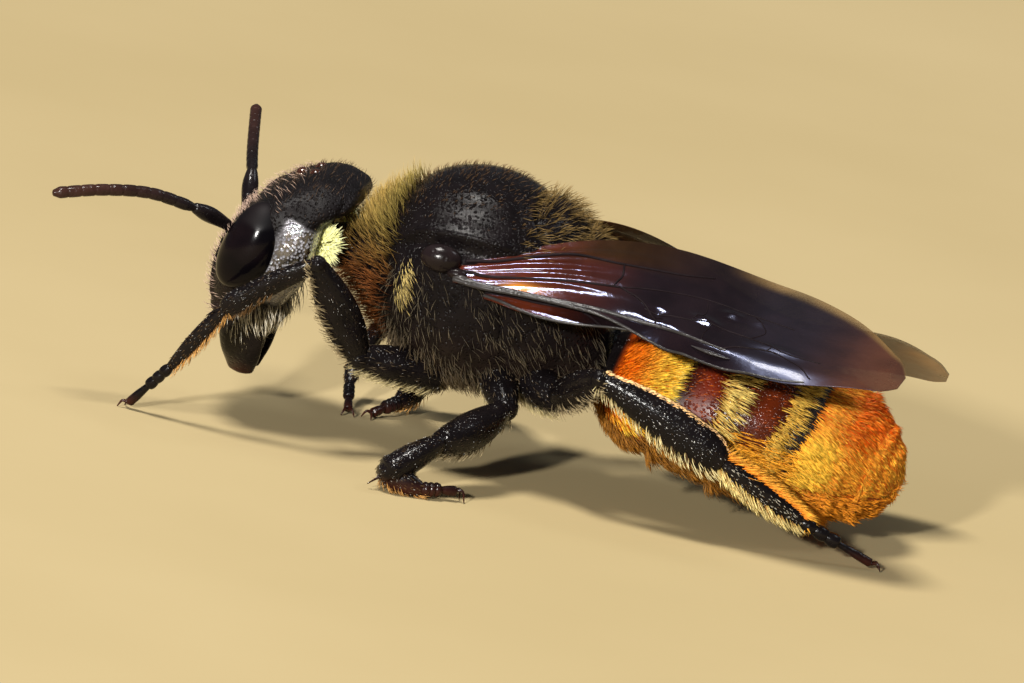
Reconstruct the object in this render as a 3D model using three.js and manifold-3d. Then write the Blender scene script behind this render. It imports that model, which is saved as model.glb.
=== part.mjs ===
// A female resin bee standing still, life size.
//
// Millimetres, +Z up. The head faces -Y and the bee's left side is +X. The body's plane of symmetry is
// X = 0, the floor is Z = 0, and the origin lies on the floor under the middle of the bee.
// Every plate of the body is its own closed mesh. The soft outline of the coat is part of each solid,
// so the body pieces reach out to the tips of the hairs.

import * as THREE from 'three';
import { mergeVertices } from 'three/addons/utils/BufferGeometryUtils.js';
import Module from 'manifold-3d';

const wasm = await Module();
wasm.setup();

// ---- Driving dimensions ---------------------------------------------------------------------------

const SEAM = 0.03; // clearance between two plates that touch
const WING_THICKNESS = 0.45;
const HINDWING_THICKNESS = 0.38;
const FLAGELLUM_RADIUS = 0.25;
const ELBOW_RADIUS = 0.28; // where the scape of a feeler meets its flagellum
const FLAGELLUM_TIP = 0.55; // the last radius of a feeler, as a share of the others
const BODY_POWER = 2.3; // sections of the body are a little squarer than ellipses

// How finely each kind of surface is divided.
const BODY_SIDES = 22;
const BAR_SIDES = 9;
const THORAX_STEPS = 18;
const HEAD_STEPS = 14;
const ABDOMEN_STEPS = [6, 4, 4, 3, 3, 3];
const FLAGELLUM_STEPS = 11;
const SPINDLE_STEPS = 4;
const EYE_DIVISIONS = [14, 9];
const OCELLUS_DIVISIONS = [8, 5];
const TEGULA_DIVISIONS = [12, 8];
const BLADE_STEPS_ACROSS = 3;
const CUTTER_STEPS = 14; // stations of the whole abdomen, when it cuts its neighbours

// Thorax and neck. Each row: y, height of the axis, half width, rise to the back, drop to the breast.
const THORAX = [
  [-3.75, 4.05, 0.7, 0.55, 0.6],
  [-3.15, 4.1, 1.1, 0.8, 0.9],
  [-2.6, 4.1, 1.65, 1.4, 1.5],
  [-2.05, 4.1, 2.08, 2.08, 1.95],
  [-1.2, 4.05, 2.33, 2.36, 2.55],
  [-0.2, 4.0, 2.4, 2.42, 2.62],
  [0.8, 4.0, 2.22, 2.2, 2.6],
  [1.55, 3.9, 1.88, 2.02, 2.4],
  [2.1, 3.6, 1.45, 1.8, 1.95],
  [2.4, 3.15, 1.05, 1.2, 1.25],
  [2.52, 2.95, 0.85, 0.85, 0.85],
];

// Abdomen. Each row: y, height of the axis, half width, rise to the back, drop to the belly.
const ABDOMEN = [
  [2.55, 2.8, 0.8, 0.8, 0.85],
  [2.85, 2.45, 1.45, 1.3, 1.05],
  [3.3, 2.3, 1.98, 1.62, 1.42],
  [4.3, 2.25, 2.32, 1.74, 1.68],
  [5.5, 2.2, 2.4, 1.76, 1.85],
  [6.6, 2.1, 2.3, 1.68, 1.95],
  [7.5, 2.0, 2.05, 1.52, 1.94],
  [8.2, 1.9, 1.68, 1.28, 1.78],
  [8.7, 1.75, 1.24, 0.95, 1.46],
  [9.0, 1.65, 0.78, 0.6, 1.04],
  [9.14, 1.55, 0.34, 0.25, 0.5],
];
const ABDOMEN_LEAN = THREE.MathUtils.degToRad(13); // the rings tip back by this angle
const ABDOMEN_RINGS = [2.55, 4.2, 5.7, 7.05, 8.05, 8.7, 9.14]; // where one ring ends and the next starts
const RING_FLARE = 0.025; // the hind rim of a ring stands proud by this share of its size

// Head, in its own axes: the crown axis leans back, and depth is measured forward from that axis.
// Each row: height on the crown axis, half width, depth of the face, depth of the back of the head.
const HEAD_CENTRE = new THREE.Vector3(0, -4.6, 3.85);
const HEAD_LEAN = THREE.MathUtils.degToRad(20);
const HEAD = [
  [-2.0, 0.85, 0.7, 0.05],
  [-1.6, 1.32, 0.96, 0.42],
  [-0.8, 1.86, 1.24, 0.84],
  [0.0, 2.12, 1.28, 1.0],
  [0.7, 2.12, 1.1, 1.0],
  [1.2, 1.95, 0.84, 0.96],
  [1.6, 1.6, 0.47, 0.92],
  [1.9, 1.1, 0.12, 0.86],
  [2.08, 0.5, -0.25, 0.72],
];
const EYE = { side: 1.68, height: 0.03, depth: 0.58, half: [0.58, 1.17, 0.64], turn: 25 };
const OCELLUS_RADIUS = 0.17;
const OCELLI = { middle: [0, 1.45, 0.58], left: [0.4, 1.68, 0.3], right: [-0.4, 1.68, 0.3] };

const MANDIBLE = {
  path: [[1.2, -1.35, 0.2], [1.08, -1.95, -0.1], [0.75, -2.5, -0.33], [0.36, -2.96, -0.5]],
  radii: [0.5, 0.55, 0.46, 0.25],
};
const TEGULA = { centre: [2.28, -1.13, 4.68], half: [0.27, 0.46, 0.36] };

// Feelers: socket, elbow, then places along the flagellum.
const ANTENNAE = {
  left: [
    [0.5, -5.75, 3.95],
    [1.28, -6.58, 4.42],
    [1.7, -7.54, 4.62],
    [2.1, -8.44, 4.57],
    [2.5, -9.45, 4.36],
  ],
  right: [
    [-0.5, -5.75, 3.95],
    [-1.2, -5.85, 4.95],
    [-2.0, -6.02, 5.2],
    [-2.85, -6.18, 5.52],
    [-3.7, -6.33, 5.84],
  ],
};

// Legs: hip, end of the hip piece, knee, ankle, end of the long foot joint, toe.
const LEGS = {
  foreleg_left: [
    [0.9, -0.95, 1.95], [1.8, -2.5, 2.12], [2.9, -3.6, 4.12],
    [2.78, -5.38, 2.74], [2.35, -6.33, 1.2], [1.95, -7.14, 0],
  ],
  midleg_left: [
    [1.2, 0.35, 2.3], [2.05, 0.8, 1.74], [3.9, -0.22, 1.16],
    [4.5, -1.2, 0.36], [4.5, -0.4, 0.2], [4.1, 0.3, 0.1],
  ],
  hindleg_left: [
    [1.0, 1.1, 2.3], [1.6, 1.75, 2.05], [3.1, 2.75, 3.02],
    [3.05, 5.6, 1.8], [2.62, 7.42, 0.84], [2.12, 9.05, 0],
  ],
  foreleg_right: [
    [-0.9, -0.95, 1.95], [-1.8, -2.0, 1.95], [-3.8, -2.3, 2.4],
    [-3.4, -3.15, 1.05], [-2.7, -3.12, 0.52], [-1.95, -2.96, 0],
  ],
  midleg_right: [
    [-1.2, 0.35, 2.3], [-2.1, 0.5, 1.95], [-4.0, -0.3, 2.2],
    [-3.4, -1.6, 0.72], [-2.75, -2.0, 0.34], [-2.08, -2.44, 0],
  ],
  hindleg_right: [
    [-1.0, 1.1, 2.3], [-1.6, 1.75, 2.05], [-3.2, 2.75, 2.95],
    [-4.05, 5.1, 1.35], [-4.2, 6.75, 0.6], [-4.25, 8.1, 0],
  ],
};
// Radii of a leg piece: at its two ends, and what the belly between them adds. A foot has no belly.
const LEG_RADII = {
  foreleg: {
    coxa: [0.5, 0.4, 0],
    femur: [0.38, 0.26, 0.18],
    tibia: [0.25, 0.26, 0.05],
    tarsus: [0.25, 0.25],
  },
  midleg: {
    coxa: [0.46, 0.36, 0],
    femur: [0.36, 0.34, 0.24],
    tibia: [0.32, 0.42, 0.12],
    tarsus: [0.32, 0.25],
  },
  hindleg: {
    coxa: [0.5, 0.42, 0],
    femur: [0.38, 0.28, 0.12],
    tibia: [0.26, 0.36, 0.14],
    tarsus: [0.27, 0.25],
  },
};
const TOE_JOINTS = 5; // the foot is a chain of five joints
const TOE_PINCH = 0.03; // how far the foot draws in between two of them
const TOE_BULGE = 0.6; // a joint of the foot is widest at this share of its length
const TOE_END = 0.7; // the last radius of the foot, as a share of the one before

// Wings: the hinge and the tip, and how steeply the blade climbs to the back, at its root and farther out.
const WINGS = {
  left: { hinge: [2.42, -0.75, 4.34], tip: [4.3, 9.0, 4.14], steep: 50, flat: 15 },
  right: { hinge: [-2.42, -0.75, 4.34], tip: [-3.2, 9.38, 3.24], steep: 50, flat: 17 },
};
const LEVELS_OUT = 0.65; // the share of the length over which a blade levels out
// A blade. Each row: share of the length, where its leading edge lies, and its width from there.
const FOREWING = [
  [0, 0.0, 0.4],
  [0.12, -0.06, 1.3],
  [0.28, -0.06, 2.35],
  [0.45, -0.08, 3.05],
  [0.6, -0.14, 3.35],
  [0.74, -0.12, 3.15],
  [0.86, 0.04, 2.45],
  [0.95, 0.28, 1.5],
  [1, 0.62, 0.5],
];
const HINDWING = [
  [0, 0.0, 0.4],
  [0.25, -0.1, 1.1],
  [0.55, -0.1, 1.6],
  [0.8, 0.1, 1.3],
  [0.94, 0.35, 0.75],
  [1, 0.55, 0.25],
];
// A hindwing is hinged a little behind its forewing, and shows below the front of it.
const HINDWING_START = 0.09;
const HINDWING_REACH = 0.64;
const HINDWING_LOWER = 0.3;

// ---- Materials --------------------------------------------------------------------------------------

const finish = (color, roughness) => new THREE.MeshStandardMaterial({ color, roughness, metalness: 0 });
const CUTICLE = finish(0x15110f, 0.35);
const EYE_LENS = finish(0x08070a, 0.12);
const OCELLUS_LENS = finish(0x2a1710, 0.1);
const THORAX_COAT = finish(0x2b2118, 0.7);
const AMBER_COAT = finish(0xc85a12, 0.65);
const DARK_COAT = finish(0x5a2a12, 0.5);
const WING = finish(0x1d1512, 0.25);

// ---- Closed surfaces --------------------------------------------------------------------------------

const vector = (place) => new THREE.Vector3(...place);

/** Joins a row of rings, each with the same number of points, and closes both ends with a fan. */
function skinned(rings) {
  const count = rings[0].length;
  const middle = (ring) => ring.reduce((sum, p) => sum.add(p), new THREE.Vector3()).divideScalar(count);
  const points = [...rings.flat(), middle(rings[0]), middle(rings.at(-1))];
  const first = rings.length * count;
  const faces = [];
  for (let i = 0; i < count; i += 1) {
    const next = (i + 1) % count;
    for (let row = 0; row + 1 < rings.length; row += 1) {
      const [a, b] = [row * count + i, row * count + next];
      faces.push(a, b, b + count, a, b + count, a + count);
    }
    const end = first - count;
    faces.push(first, next, i, first + 1, end + i, end + next);
  }
  return outward(points, faces);
}

/** A geometry from points and faces, turned so that its faces look out. */
function outward(points, faces) {
  let volume = 0;
  for (let i = 0; i < faces.length; i += 3) {
    const [a, b, c] = faces.slice(i, i + 3).map((k) => points[k]);
    volume += a.dot(b.clone().cross(c));
  }
  const geometry = new THREE.BufferGeometry().setFromPoints(points);
  geometry.setIndex(volume > 0 ? faces : faces.toReversed());
  geometry.computeVertexNormals();
  return geometry;
}

/** One superellipse ring: half the width to either side, and separate heights above and below its centre. */
function ring({ centre, side, rise, half, up, down }) {
  const bend = (value) => Math.sign(value) * Math.abs(value) ** (2 / BODY_POWER);
  return Array.from({ length: BODY_SIDES }, (_, i) => {
    const angle = (2 * Math.PI * i) / BODY_SIDES;
    const height = Math.sin(angle) > 0 ? up : down;
    return centre
      .clone()
      .addScaledVector(side, half * bend(Math.cos(angle)))
      .addScaledVector(rise, height * bend(Math.sin(angle)));
  });
}

/** A smooth curve through the rows of a table whose first column is the place. */
function spline(table) {
  const places = table.map((row) => row[0]);
  const values = table.flatMap((row) => row.slice(1));
  const columns = table[0].length - 1;
  const curve = new THREE.CubicInterpolant(places, values, columns, new Float64Array(columns));
  return (place) => Array.from(curve.evaluate(place));
}

/** Evenly spaced values, both ends included. */
const steps = (from, to, count) =>
  Array.from({ length: count + 1 }, (_, i) => from + ((to - from) * i) / count);

/** An ellipsoid whose three axes are the columns of the basis. */
function ellipsoid(centre, axes, half, divisions) {
  const columns = axes.map((axis, i) => axis.clone().multiplyScalar(half[i]));
  const basis = new THREE.Matrix4().makeBasis(...columns);
  return plain(new THREE.SphereGeometry(1, ...divisions)).applyMatrix4(basis.setPosition(centre));
}

/** Drops everything but the merged points and their faces. */
function plain(geometry) {
  geometry.deleteAttribute('normal');
  geometry.deleteAttribute('uv');
  return mergeVertices(geometry, 1e-4);
}

/** A round bar along a path. Its end planes can be tipped, so that the next bar meets it face to face. */
function bar(path, radii, { startPlane, endPlane, startGap = 0, endGap = 0 } = {}) {
  const runs = path.slice(1).map((p, i) => p.clone().sub(path[i]).normalize());
  const turn = new THREE.Quaternion();
  let out = new THREE.Vector3(0, 0, 1).cross(runs[0]).normalize();
  const last = path.length - 1;
  const rings = path.map((centre, i) => {
    const run = runs[Math.max(i - 1, 0)];
    if (i > 1) out = out.clone().applyQuaternion(turn.setFromUnitVectors(runs[i - 2], run));
    const up = run.clone().cross(out);
    let plane = i === 0 || i === last ? run : run.clone().add(runs[i]).normalize();
    if (i === 0 && startPlane) plane = startPlane;
    if (i === last && endPlane) plane = endPlane;
    const shift = i === 0 ? startGap : i === last ? -endGap : 0;
    return Array.from({ length: BAR_SIDES }, (_, k) => {
      const angle = (2 * Math.PI * k) / BAR_SIDES;
      const spoke = out.clone().multiplyScalar(Math.cos(angle)).addScaledVector(up, Math.sin(angle));
      spoke.multiplyScalar(radii[i]);
      spoke.addScaledVector(run, -spoke.dot(plane) / run.dot(plane));
      return spoke.addScaledVector(plane, shift).add(centre);
    });
  });
  return skinned(rings);
}

// ---- Cutting ------------------------------------------------------------------------------------------

function toSolid(geometry) {
  const merged = geometry.index ? geometry.clone() : plain(geometry.clone());
  merged.deleteAttribute('normal');
  const { Manifold, Mesh } = wasm;
  const vertProperties = new Float32Array(merged.getAttribute('position').array);
  const triVerts = new Uint32Array(merged.index.array);
  return new Manifold(new Mesh({ numProp: 3, vertProperties, triVerts }));
}

function toGeometry(solid) {
  const { vertProperties, triVerts } = solid.getMesh();
  const geometry = new THREE.BufferGeometry();
  geometry.setAttribute('position', new THREE.BufferAttribute(vertProperties, 3));
  geometry.setIndex(new THREE.BufferAttribute(triVerts, 1));
  geometry.computeVertexNormals();
  return geometry;
}

const cut = (geometry, ...tools) =>
  toGeometry(tools.reduce((solid, tool) => solid.subtract(toSolid(tool)), toSolid(geometry)));

/** What is left of a piece above the floor, so that it stands on a flat. */
const standing = (geometry) => toGeometry(toSolid(geometry).trimByPlane([0, 0, 1], 0));

// ---- Trunk --------------------------------------------------------------------------------------------

const LEFT = new THREE.Vector3(1, 0, 0);
const UP = new THREE.Vector3(0, 0, 1);

/** The thorax, or the same shape grown by a clearance, to cut its neighbours with. */
function thoraxShape(grow = 0) {
  const [first, last] = [THORAX[0][0], THORAX.at(-1)[0]];
  const section = spline(THORAX);
  return skinned(
    steps(first, last, THORAX_STEPS).map((y, i) => {
      const [z, ...sizes] = section(y);
      const reach = i === 0 ? -grow : i === THORAX_STEPS ? grow : 0;
      const [half, up, down] = sizes.map((size) => size + grow);
      return ring({ centre: new THREE.Vector3(0, y + reach, z), side: LEFT, rise: UP, half, up, down });
    }),
  );
}

/** A stretch of the abdomen, as one closed ring of the body. */
function abdomenShape(from, to, count, { grow = 0, flare = 0 } = {}) {
  const section = spline(ABDOMEN);
  const rise = new THREE.Vector3(0, Math.sin(ABDOMEN_LEAN), Math.cos(ABDOMEN_LEAN));
  return skinned(
    steps(from, to, count).map((y, i) => {
      const [z, ...sizes] = section(y);
      const share = 1 + flare * (i / count - 1);
      const [half, up, down] = sizes.map((size) => size * share + grow);
      return ring({ centre: new THREE.Vector3(0, y, z), side: LEFT, rise, half, up, down });
    }),
  );
}

function abdomenRings() {
  return ABDOMEN_RINGS.slice(1).map((end, i) => {
    const [from, to] = [ABDOMEN_RINGS[i] + SEAM / 2, end - SEAM / 2];
    const shape = abdomenShape(from, to, ABDOMEN_STEPS[i], { flare: RING_FLARE });
    return i === 0 ? cut(shape, clearThorax) : shape;
  });
}

// ---- Head ---------------------------------------------------------------------------------------------

const CROWN = new THREE.Vector3(0, Math.sin(HEAD_LEAN), Math.cos(HEAD_LEAN));
const FACE = new THREE.Vector3(0, -Math.cos(HEAD_LEAN), Math.sin(HEAD_LEAN));

/** A place on the head from its side, height and depth. */
function onHead(side, height, depth) {
  const place = HEAD_CENTRE.clone().addScaledVector(LEFT, side);
  return place.addScaledVector(CROWN, height).addScaledVector(FACE, depth);
}

function headShape(grow = 0) {
  const section = spline(HEAD);
  const [low, high] = [HEAD[0][0], HEAD.at(-1)[0]];
  return skinned(
    steps(low, high, HEAD_STEPS).map((height, i) => {
      const [half, face, back] = section(height);
      const reach = i === 0 ? -grow : i === HEAD_STEPS ? grow : 0;
      const depth = (face - back) / 2;
      const thick = (face + back) / 2 + grow;
      const centre = onHead(0, height + reach, depth);
      return ring({ centre, side: LEFT, rise: FACE, half: half + grow, up: thick, down: thick });
    }),
  );
}

function eyeShape(hand, grow = 0) {
  const turn = THREE.MathUtils.degToRad(EYE.turn);
  const gaze = LEFT.clone().multiplyScalar(hand * Math.cos(turn)).addScaledVector(FACE, Math.sin(turn));
  const centre = onHead(hand * EYE.side, EYE.height, EYE.depth);
  const axes = [gaze, CROWN, gaze.clone().cross(CROWN)];
  const half = EYE.half.map((size) => size + grow);
  return ellipsoid(centre, axes, half, EYE_DIVISIONS);
}

function ocellusShape(place, grow = 0) {
  const half = [0, 1, 2].map(() => OCELLUS_RADIUS + grow);
  return ellipsoid(onHead(...place), [LEFT, FACE.clone().negate(), CROWN], half, OCELLUS_DIVISIONS);
}

function mandibleShape(hand) {
  const path = MANDIBLE.path.map(([side, height, depth]) => onHead(hand * side, height, depth));
  return bar(path, MANDIBLE.radii);
}

/** The elbowed feeler: a straight scape, then the flagellum on a smooth curve. */
function antennaShapes(places) {
  const [socket, elbow, ...beyond] = places.map(vector);
  const whip = new THREE.CatmullRomCurve3([elbow, ...beyond]).getPoints(FLAGELLUM_STEPS);
  const taper = whip.map((_, i) => FLAGELLUM_RADIUS * (i === FLAGELLUM_STEPS ? FLAGELLUM_TIP : 1));
  const runs = [elbow.clone().sub(socket), whip[1].clone().sub(elbow)].map((run) => run.normalize());
  const plane = runs[0].add(runs[1]).normalize();
  const gap = SEAM / 2;
  const radii = [FLAGELLUM_RADIUS, ELBOW_RADIUS];
  return {
    scape: bar([socket, elbow], radii, { endPlane: plane, endGap: gap }),
    flagellum: bar(whip, taper, { startPlane: plane, startGap: gap }),
  };
}

// ---- Legs ---------------------------------------------------------------------------------------------

/** Places and radii along one straight leg piece with a belly in the middle. */
function spindle(from, to, [start, end, belly]) {
  const shares = steps(0, 1, SPINDLE_STEPS);
  const path = shares.map((t) => from.clone().lerp(to, t));
  const radii = shares.map((t) => start + (end - start) * t + belly * Math.sin(Math.PI * t));
  return { path, radii };
}

/** The foot: the long first joint, then four short ones, drawn in where they meet. */
function footPath(ankle, heel, toe, [start, end]) {
  const short = TOE_JOINTS - 1;
  const knots = [ankle, ...steps(0, 1, short).map((t) => heel.clone().lerp(toe, t))];
  const path = [knots[0]];
  const radii = [start];
  knots.slice(1).forEach((knot, i) => {
    const size = start + ((end - start) * (i + 1)) / TOE_JOINTS;
    path.push(knots[i].clone().lerp(knot, TOE_BULGE), knot);
    radii.push(size, i === short ? size * TOE_END : size - TOE_PINCH);
  });
  return { path, radii };
}

function legShapes(places, radii) {
  const joints = places.map(vector);
  const runs = joints.slice(1).map((p, i) => p.clone().sub(joints[i]).normalize());
  const planes = runs.slice(1).map((run, i) => run.clone().add(runs[i]).normalize());
  const gap = SEAM / 2;
  const pieces = {};
  ['coxa', 'femur', 'tibia'].forEach((name, i) => {
    const { path, radii: sizes } = spindle(joints[i], joints[i + 1], radii[name]);
    const start = i > 0 ? { startPlane: planes[i - 1], startGap: gap } : {};
    pieces[name] = bar(path, sizes, { ...start, endPlane: planes[i], endGap: gap });
  });
  const { path, radii: sizes } = footPath(joints[3], joints[4], joints[5], radii.tarsus);
  pieces.tarsus = bar(path, sizes, { startPlane: planes[2], startGap: gap });
  pieces.coxa = cut(pieces.coxa, clearThorax);
  pieces.tibia = standing(pieces.tibia);
  pieces.tarsus = standing(pieces.tarsus);
  return pieces;
}

// ---- Wings --------------------------------------------------------------------------------------------

/**
 * A blade as a thin plate on a straight line from the hinge to the tip. Each station is a flat
 * section across that line, turned up by the tilt that the blade has there, so the plate twists.
 */
function blade(table, { hinge, tip, steep, flat, hand }, { thickness, from, reach, lower, sink, count }) {
  const run = tip.clone().sub(hinge).normalize();
  const length = tip.distanceTo(hinge);
  const section = spline(table);
  return skinned(
    steps(0, 1, count).map((share) => {
      const along = from + share * reach;
      const [lead, width] = section(share);
      const level = THREE.MathUtils.smoothstep(along, 0, LEVELS_OUT);
      const tilt = THREE.MathUtils.degToRad(THREE.MathUtils.lerp(steep, flat, level));
      const inward = new THREE.Vector3(-hand * Math.cos(tilt), 0, Math.sin(tilt));
      inward.addScaledVector(run, -inward.dot(run)).normalize();
      const normal = run.clone().cross(inward).multiplyScalar(hand);
      const middle = hinge.clone().addScaledVector(run, along * length);
      const point = (t, face) => {
        const place = middle.clone().addScaledVector(inward, lead - lower + t * width);
        return place.addScaledVector(normal, (face * thickness) / 2 - sink);
      };
      const top = steps(0, 1, BLADE_STEPS_ACROSS).map((t) => point(t, 1));
      const bottom = steps(1, 0, BLADE_STEPS_ACROSS).map((t) => point(t, -1));
      return [...top, ...bottom];
    }),
  );
}

function wingShapes(hand, { hinge, tip, ...tilts }) {
  const place = { hinge: vector(hinge), tip: vector(tip), hand, ...tilts };
  const fore = { thickness: WING_THICKNESS, from: 0, reach: 1, lower: 0, sink: 0, count: 11 };
  const hind = {
    thickness: HINDWING_THICKNESS,
    from: HINDWING_START,
    reach: HINDWING_REACH,
    lower: HINDWING_LOWER,
    sink: (WING_THICKNESS + HINDWING_THICKNESS) / 2 + SEAM,
    count: 8,
  };
  return {
    forewing: cut(blade(FOREWING, place, fore), clearThorax, tegulaShape(hand, SEAM)),
    hindwing: cut(blade(HINDWING, place, hind), clearThorax, clearAbdomen),
  };
}

/** The small domed cap over a wing's hinge. */
function tegulaShape(hand, grow = 0) {
  const [side, y, z] = TEGULA.centre;
  const half = TEGULA.half.map((value) => value + grow);
  const axes = [LEFT, UP.clone().cross(LEFT), UP];
  return ellipsoid(new THREE.Vector3(hand * side, y, z), axes, half, TEGULA_DIVISIONS);
}

// ---- The whole bee --------------------------------------------------------------------------------------

const bee = new THREE.Group();

function add(parent, name, geometry, material) {
  const mesh = new THREE.Mesh(geometry, material);
  mesh.name = name;
  parent.add(mesh);
}

const HANDS = { left: 1, right: -1 };
const clearHead = headShape(SEAM);
const clearThorax = thoraxShape(SEAM);
const clearAbdomen = abdomenShape(ABDOMEN_RINGS[0], ABDOMEN_RINGS.at(-1), CUTTER_STEPS, { grow: 2 * SEAM });

function addHead() {
  const group = new THREE.Group();
  const sockets = [eyeShape(1, SEAM), eyeShape(-1, SEAM)];
  const lenses = Object.values(OCELLI).map((place) => ocellusShape(place, SEAM));
  add(group, 'head', cut(headShape(), ...sockets, ...lenses), CUTICLE);
  Object.entries(OCELLI).forEach(([name, place]) => {
    add(group, `ocellus_${name}`, ocellusShape(place), OCELLUS_LENS);
  });
  Object.entries(HANDS).forEach(([name, hand]) => {
    add(group, `eye_${name}`, eyeShape(hand), EYE_LENS);
    add(group, `mandible_${name}`, cut(mandibleShape(hand), clearHead), CUTICLE);
    const { scape, flagellum } = antennaShapes(ANTENNAE[name]);
    add(group, `antenna_${name}_scape`, cut(scape, clearHead), CUTICLE);
    add(group, `antenna_${name}_flagellum`, flagellum, CUTICLE);
  });
  bee.add(group);
}

function addTrunk() {
  add(bee, 'thorax', cut(thoraxShape(), clearHead), THORAX_COAT);
  const coats = [AMBER_COAT, DARK_COAT, DARK_COAT, AMBER_COAT, AMBER_COAT, AMBER_COAT];
  abdomenRings().forEach((geometry, i) => add(bee, `abdomen_${i + 1}`, geometry, coats[i]));
}

function addWings() {
  Object.entries(HANDS).forEach(([name, hand]) => {
    const { forewing, hindwing } = wingShapes(hand, WINGS[name]);
    add(bee, `forewing_${name}`, forewing, WING);
    add(bee, `hindwing_${name}`, hindwing, WING);
    add(bee, `tegula_${name}`, cut(tegulaShape(hand), clearThorax), CUTICLE);
  });
}

function addLegs() {
  Object.entries(LEGS).forEach(([name, places]) => {
    const leg = new THREE.Group();
    const shapes = legShapes(places, LEG_RADII[name.split('_')[0]]);
    Object.entries(shapes).forEach(([piece, geometry]) => add(leg, `${name}_${piece}`, geometry, CUTICLE));
    bee.add(leg);
  });
}

addHead();
addTrunk();
addWings();
addLegs();

export default bee;
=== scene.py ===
# %% [markdown]
# # A resin bee, life size
# An insect is a set of hard plates with hair on them. So the model is made in that order: the
# plates as closed surfaces, the wings as thin veined membranes, and then the coat, hair by hair.
# Lengths are in millimetres while a shape is worked out, and turn into Blender's metres when its
# mesh is made.

import bpy
import numpy as np
from mathutils import Matrix


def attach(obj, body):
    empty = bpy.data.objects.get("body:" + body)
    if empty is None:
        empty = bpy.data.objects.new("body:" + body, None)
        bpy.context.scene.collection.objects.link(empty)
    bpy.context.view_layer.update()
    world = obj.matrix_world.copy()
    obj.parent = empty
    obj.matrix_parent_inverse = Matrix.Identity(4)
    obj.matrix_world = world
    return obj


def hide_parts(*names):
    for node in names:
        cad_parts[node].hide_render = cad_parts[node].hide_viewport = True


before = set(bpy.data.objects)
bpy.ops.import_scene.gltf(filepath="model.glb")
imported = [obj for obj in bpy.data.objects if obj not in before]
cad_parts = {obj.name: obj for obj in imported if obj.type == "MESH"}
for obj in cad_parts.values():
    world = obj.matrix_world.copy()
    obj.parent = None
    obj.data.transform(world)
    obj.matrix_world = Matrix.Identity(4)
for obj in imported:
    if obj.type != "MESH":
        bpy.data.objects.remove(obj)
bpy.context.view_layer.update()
MM = 0.001  # metres in a millimetre
SIDES = {"left": 1, "right": -1}  # the bee's left is +x
rng = np.random.default_rng(41)
print("CAD nodes:", len(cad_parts))

# %% [markdown]
# ## Smooth curves and closed surfaces
# Every plate is a row of rings, and a ring's sizes come from a table with a few rows. A cubic
# through the rows gives the rings between them. A grid of points becomes a closed mesh when its
# last column joins its first and a fan closes either end.

# %% Curves, rings and solids
def spline(table, at):
    """The table's columns at a place: cubics whose slopes at the rows are central differences."""
    table = np.asarray(table, float)
    x, y = table[:, 0], table[:, 1:]
    slope = np.gradient(y, x, axis=0)
    i = np.clip(np.searchsorted(x, at) - 1, 0, len(x) - 2)
    h = (x[i + 1] - x[i])[..., None]
    s = (at - x[i])[..., None] / h
    ends = y[i] * (1 + 2 * s) * (1 - s) ** 2 + y[i + 1] * s * s * (3 - 2 * s)
    return ends + h * s * (1 - s) * (slope[i] * (1 - s) - slope[i + 1] * s)


def unit(v):
    """Each vector divided by its length."""
    return v / np.maximum(np.linalg.norm(v, axis=-1, keepdims=True), 1e-12)


def ease(low, high, x):
    """0 below low, 1 above high, and 3 t^2 - 2 t^3 between them."""
    t = np.clip((x - low) / (high - low), 0, 1)
    return t * t * (3 - 2 * t)


def bump(x, middle, width):
    """A bell of height 1: exp(-((x - middle) / width)^2)."""
    return np.exp(-(((x - middle) / width) ** 2))


def rings(centre, side, rise, half, up, down, columns, power=2.3):
    """Superellipse rings: |x / half|^power + |z / height|^power = 1, with height up above the
    centre and down below it. The angle runs once round, from the side through the rise. Two powers
    are for the half above the centre and the half below it."""
    a = np.linspace(0, 2 * np.pi, columns, endpoint=False)
    power = np.where(np.sin(a) > 0, *np.broadcast_to(power, 2))
    across = np.sign(np.cos(a)) * np.abs(np.cos(a)) ** (2 / power)
    over = np.sign(np.sin(a)) * np.abs(np.sin(a)) ** (2 / power)
    height = np.where(np.sin(a) > 0, up[:, None], down[:, None]) * over
    return centre[:, None] + (half[:, None] * across)[..., None] * side + height[..., None] * rise


def normals(P):
    """Unit normals of a grid closed across its columns, pointing away from each ring's middle."""
    along = np.gradient(P, axis=0)
    across = np.roll(P, -1, 1) - np.roll(P, 1, 1)
    n = unit(np.cross(along, across))
    away = P - P.mean(1, keepdims=True)
    return n * np.sign((n * away).sum((1, 2), keepdims=True).sum() or 1)


def solid(P):
    """A grid (rows, columns, 3) as one closed surface, faces outwards: (points, triangles)."""
    rows, cols = P.shape[:2]
    points = np.concatenate([P.reshape(-1, 3), P[:1].mean(1), P[-1:].mean(1)])
    i, j = np.meshgrid(np.arange(rows - 1), np.arange(cols), indexing="ij")
    a, b = i * cols + j, i * cols + (j + 1) % cols
    walls = np.stack([a, b, b + cols, a, b + cols, a + cols], -1).reshape(-1, 3)
    k, end = np.arange(cols), (rows - 1) * cols
    n = (k + 1) % cols
    first = np.stack([0 * k + rows * cols, n, k], -1)
    last = np.stack([0 * k + rows * cols + 1, end + k, end + n], -1)
    faces = np.concatenate([walls, first, last])
    a, b, c = (points[faces[:, m]] - points.mean(0) for m in range(3))
    return points, faces[:, ::-1] if (a * np.cross(b, c)).sum() < 0 else faces


def ellipsoid(centre, axes, half, rows=24, columns=32):
    """centre + sum of half_i * axis_i * a unit sphere, pole to pole along the first axis."""
    v = np.linspace(0.02, np.pi - 0.02, rows)[:, None]
    u = np.linspace(0, 2 * np.pi, columns, endpoint=False)[None]
    ball = np.stack([np.cos(v) + 0 * u, np.sin(v) * np.cos(u), np.sin(v) * np.sin(u)], -1)
    return np.asarray(centre) + (ball * half) @ np.asarray(axes)


print("a ball:", solid(ellipsoid([0, 0, 0], np.eye(3), [1, 1, 1]))[1].shape[0], "triangles")

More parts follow.
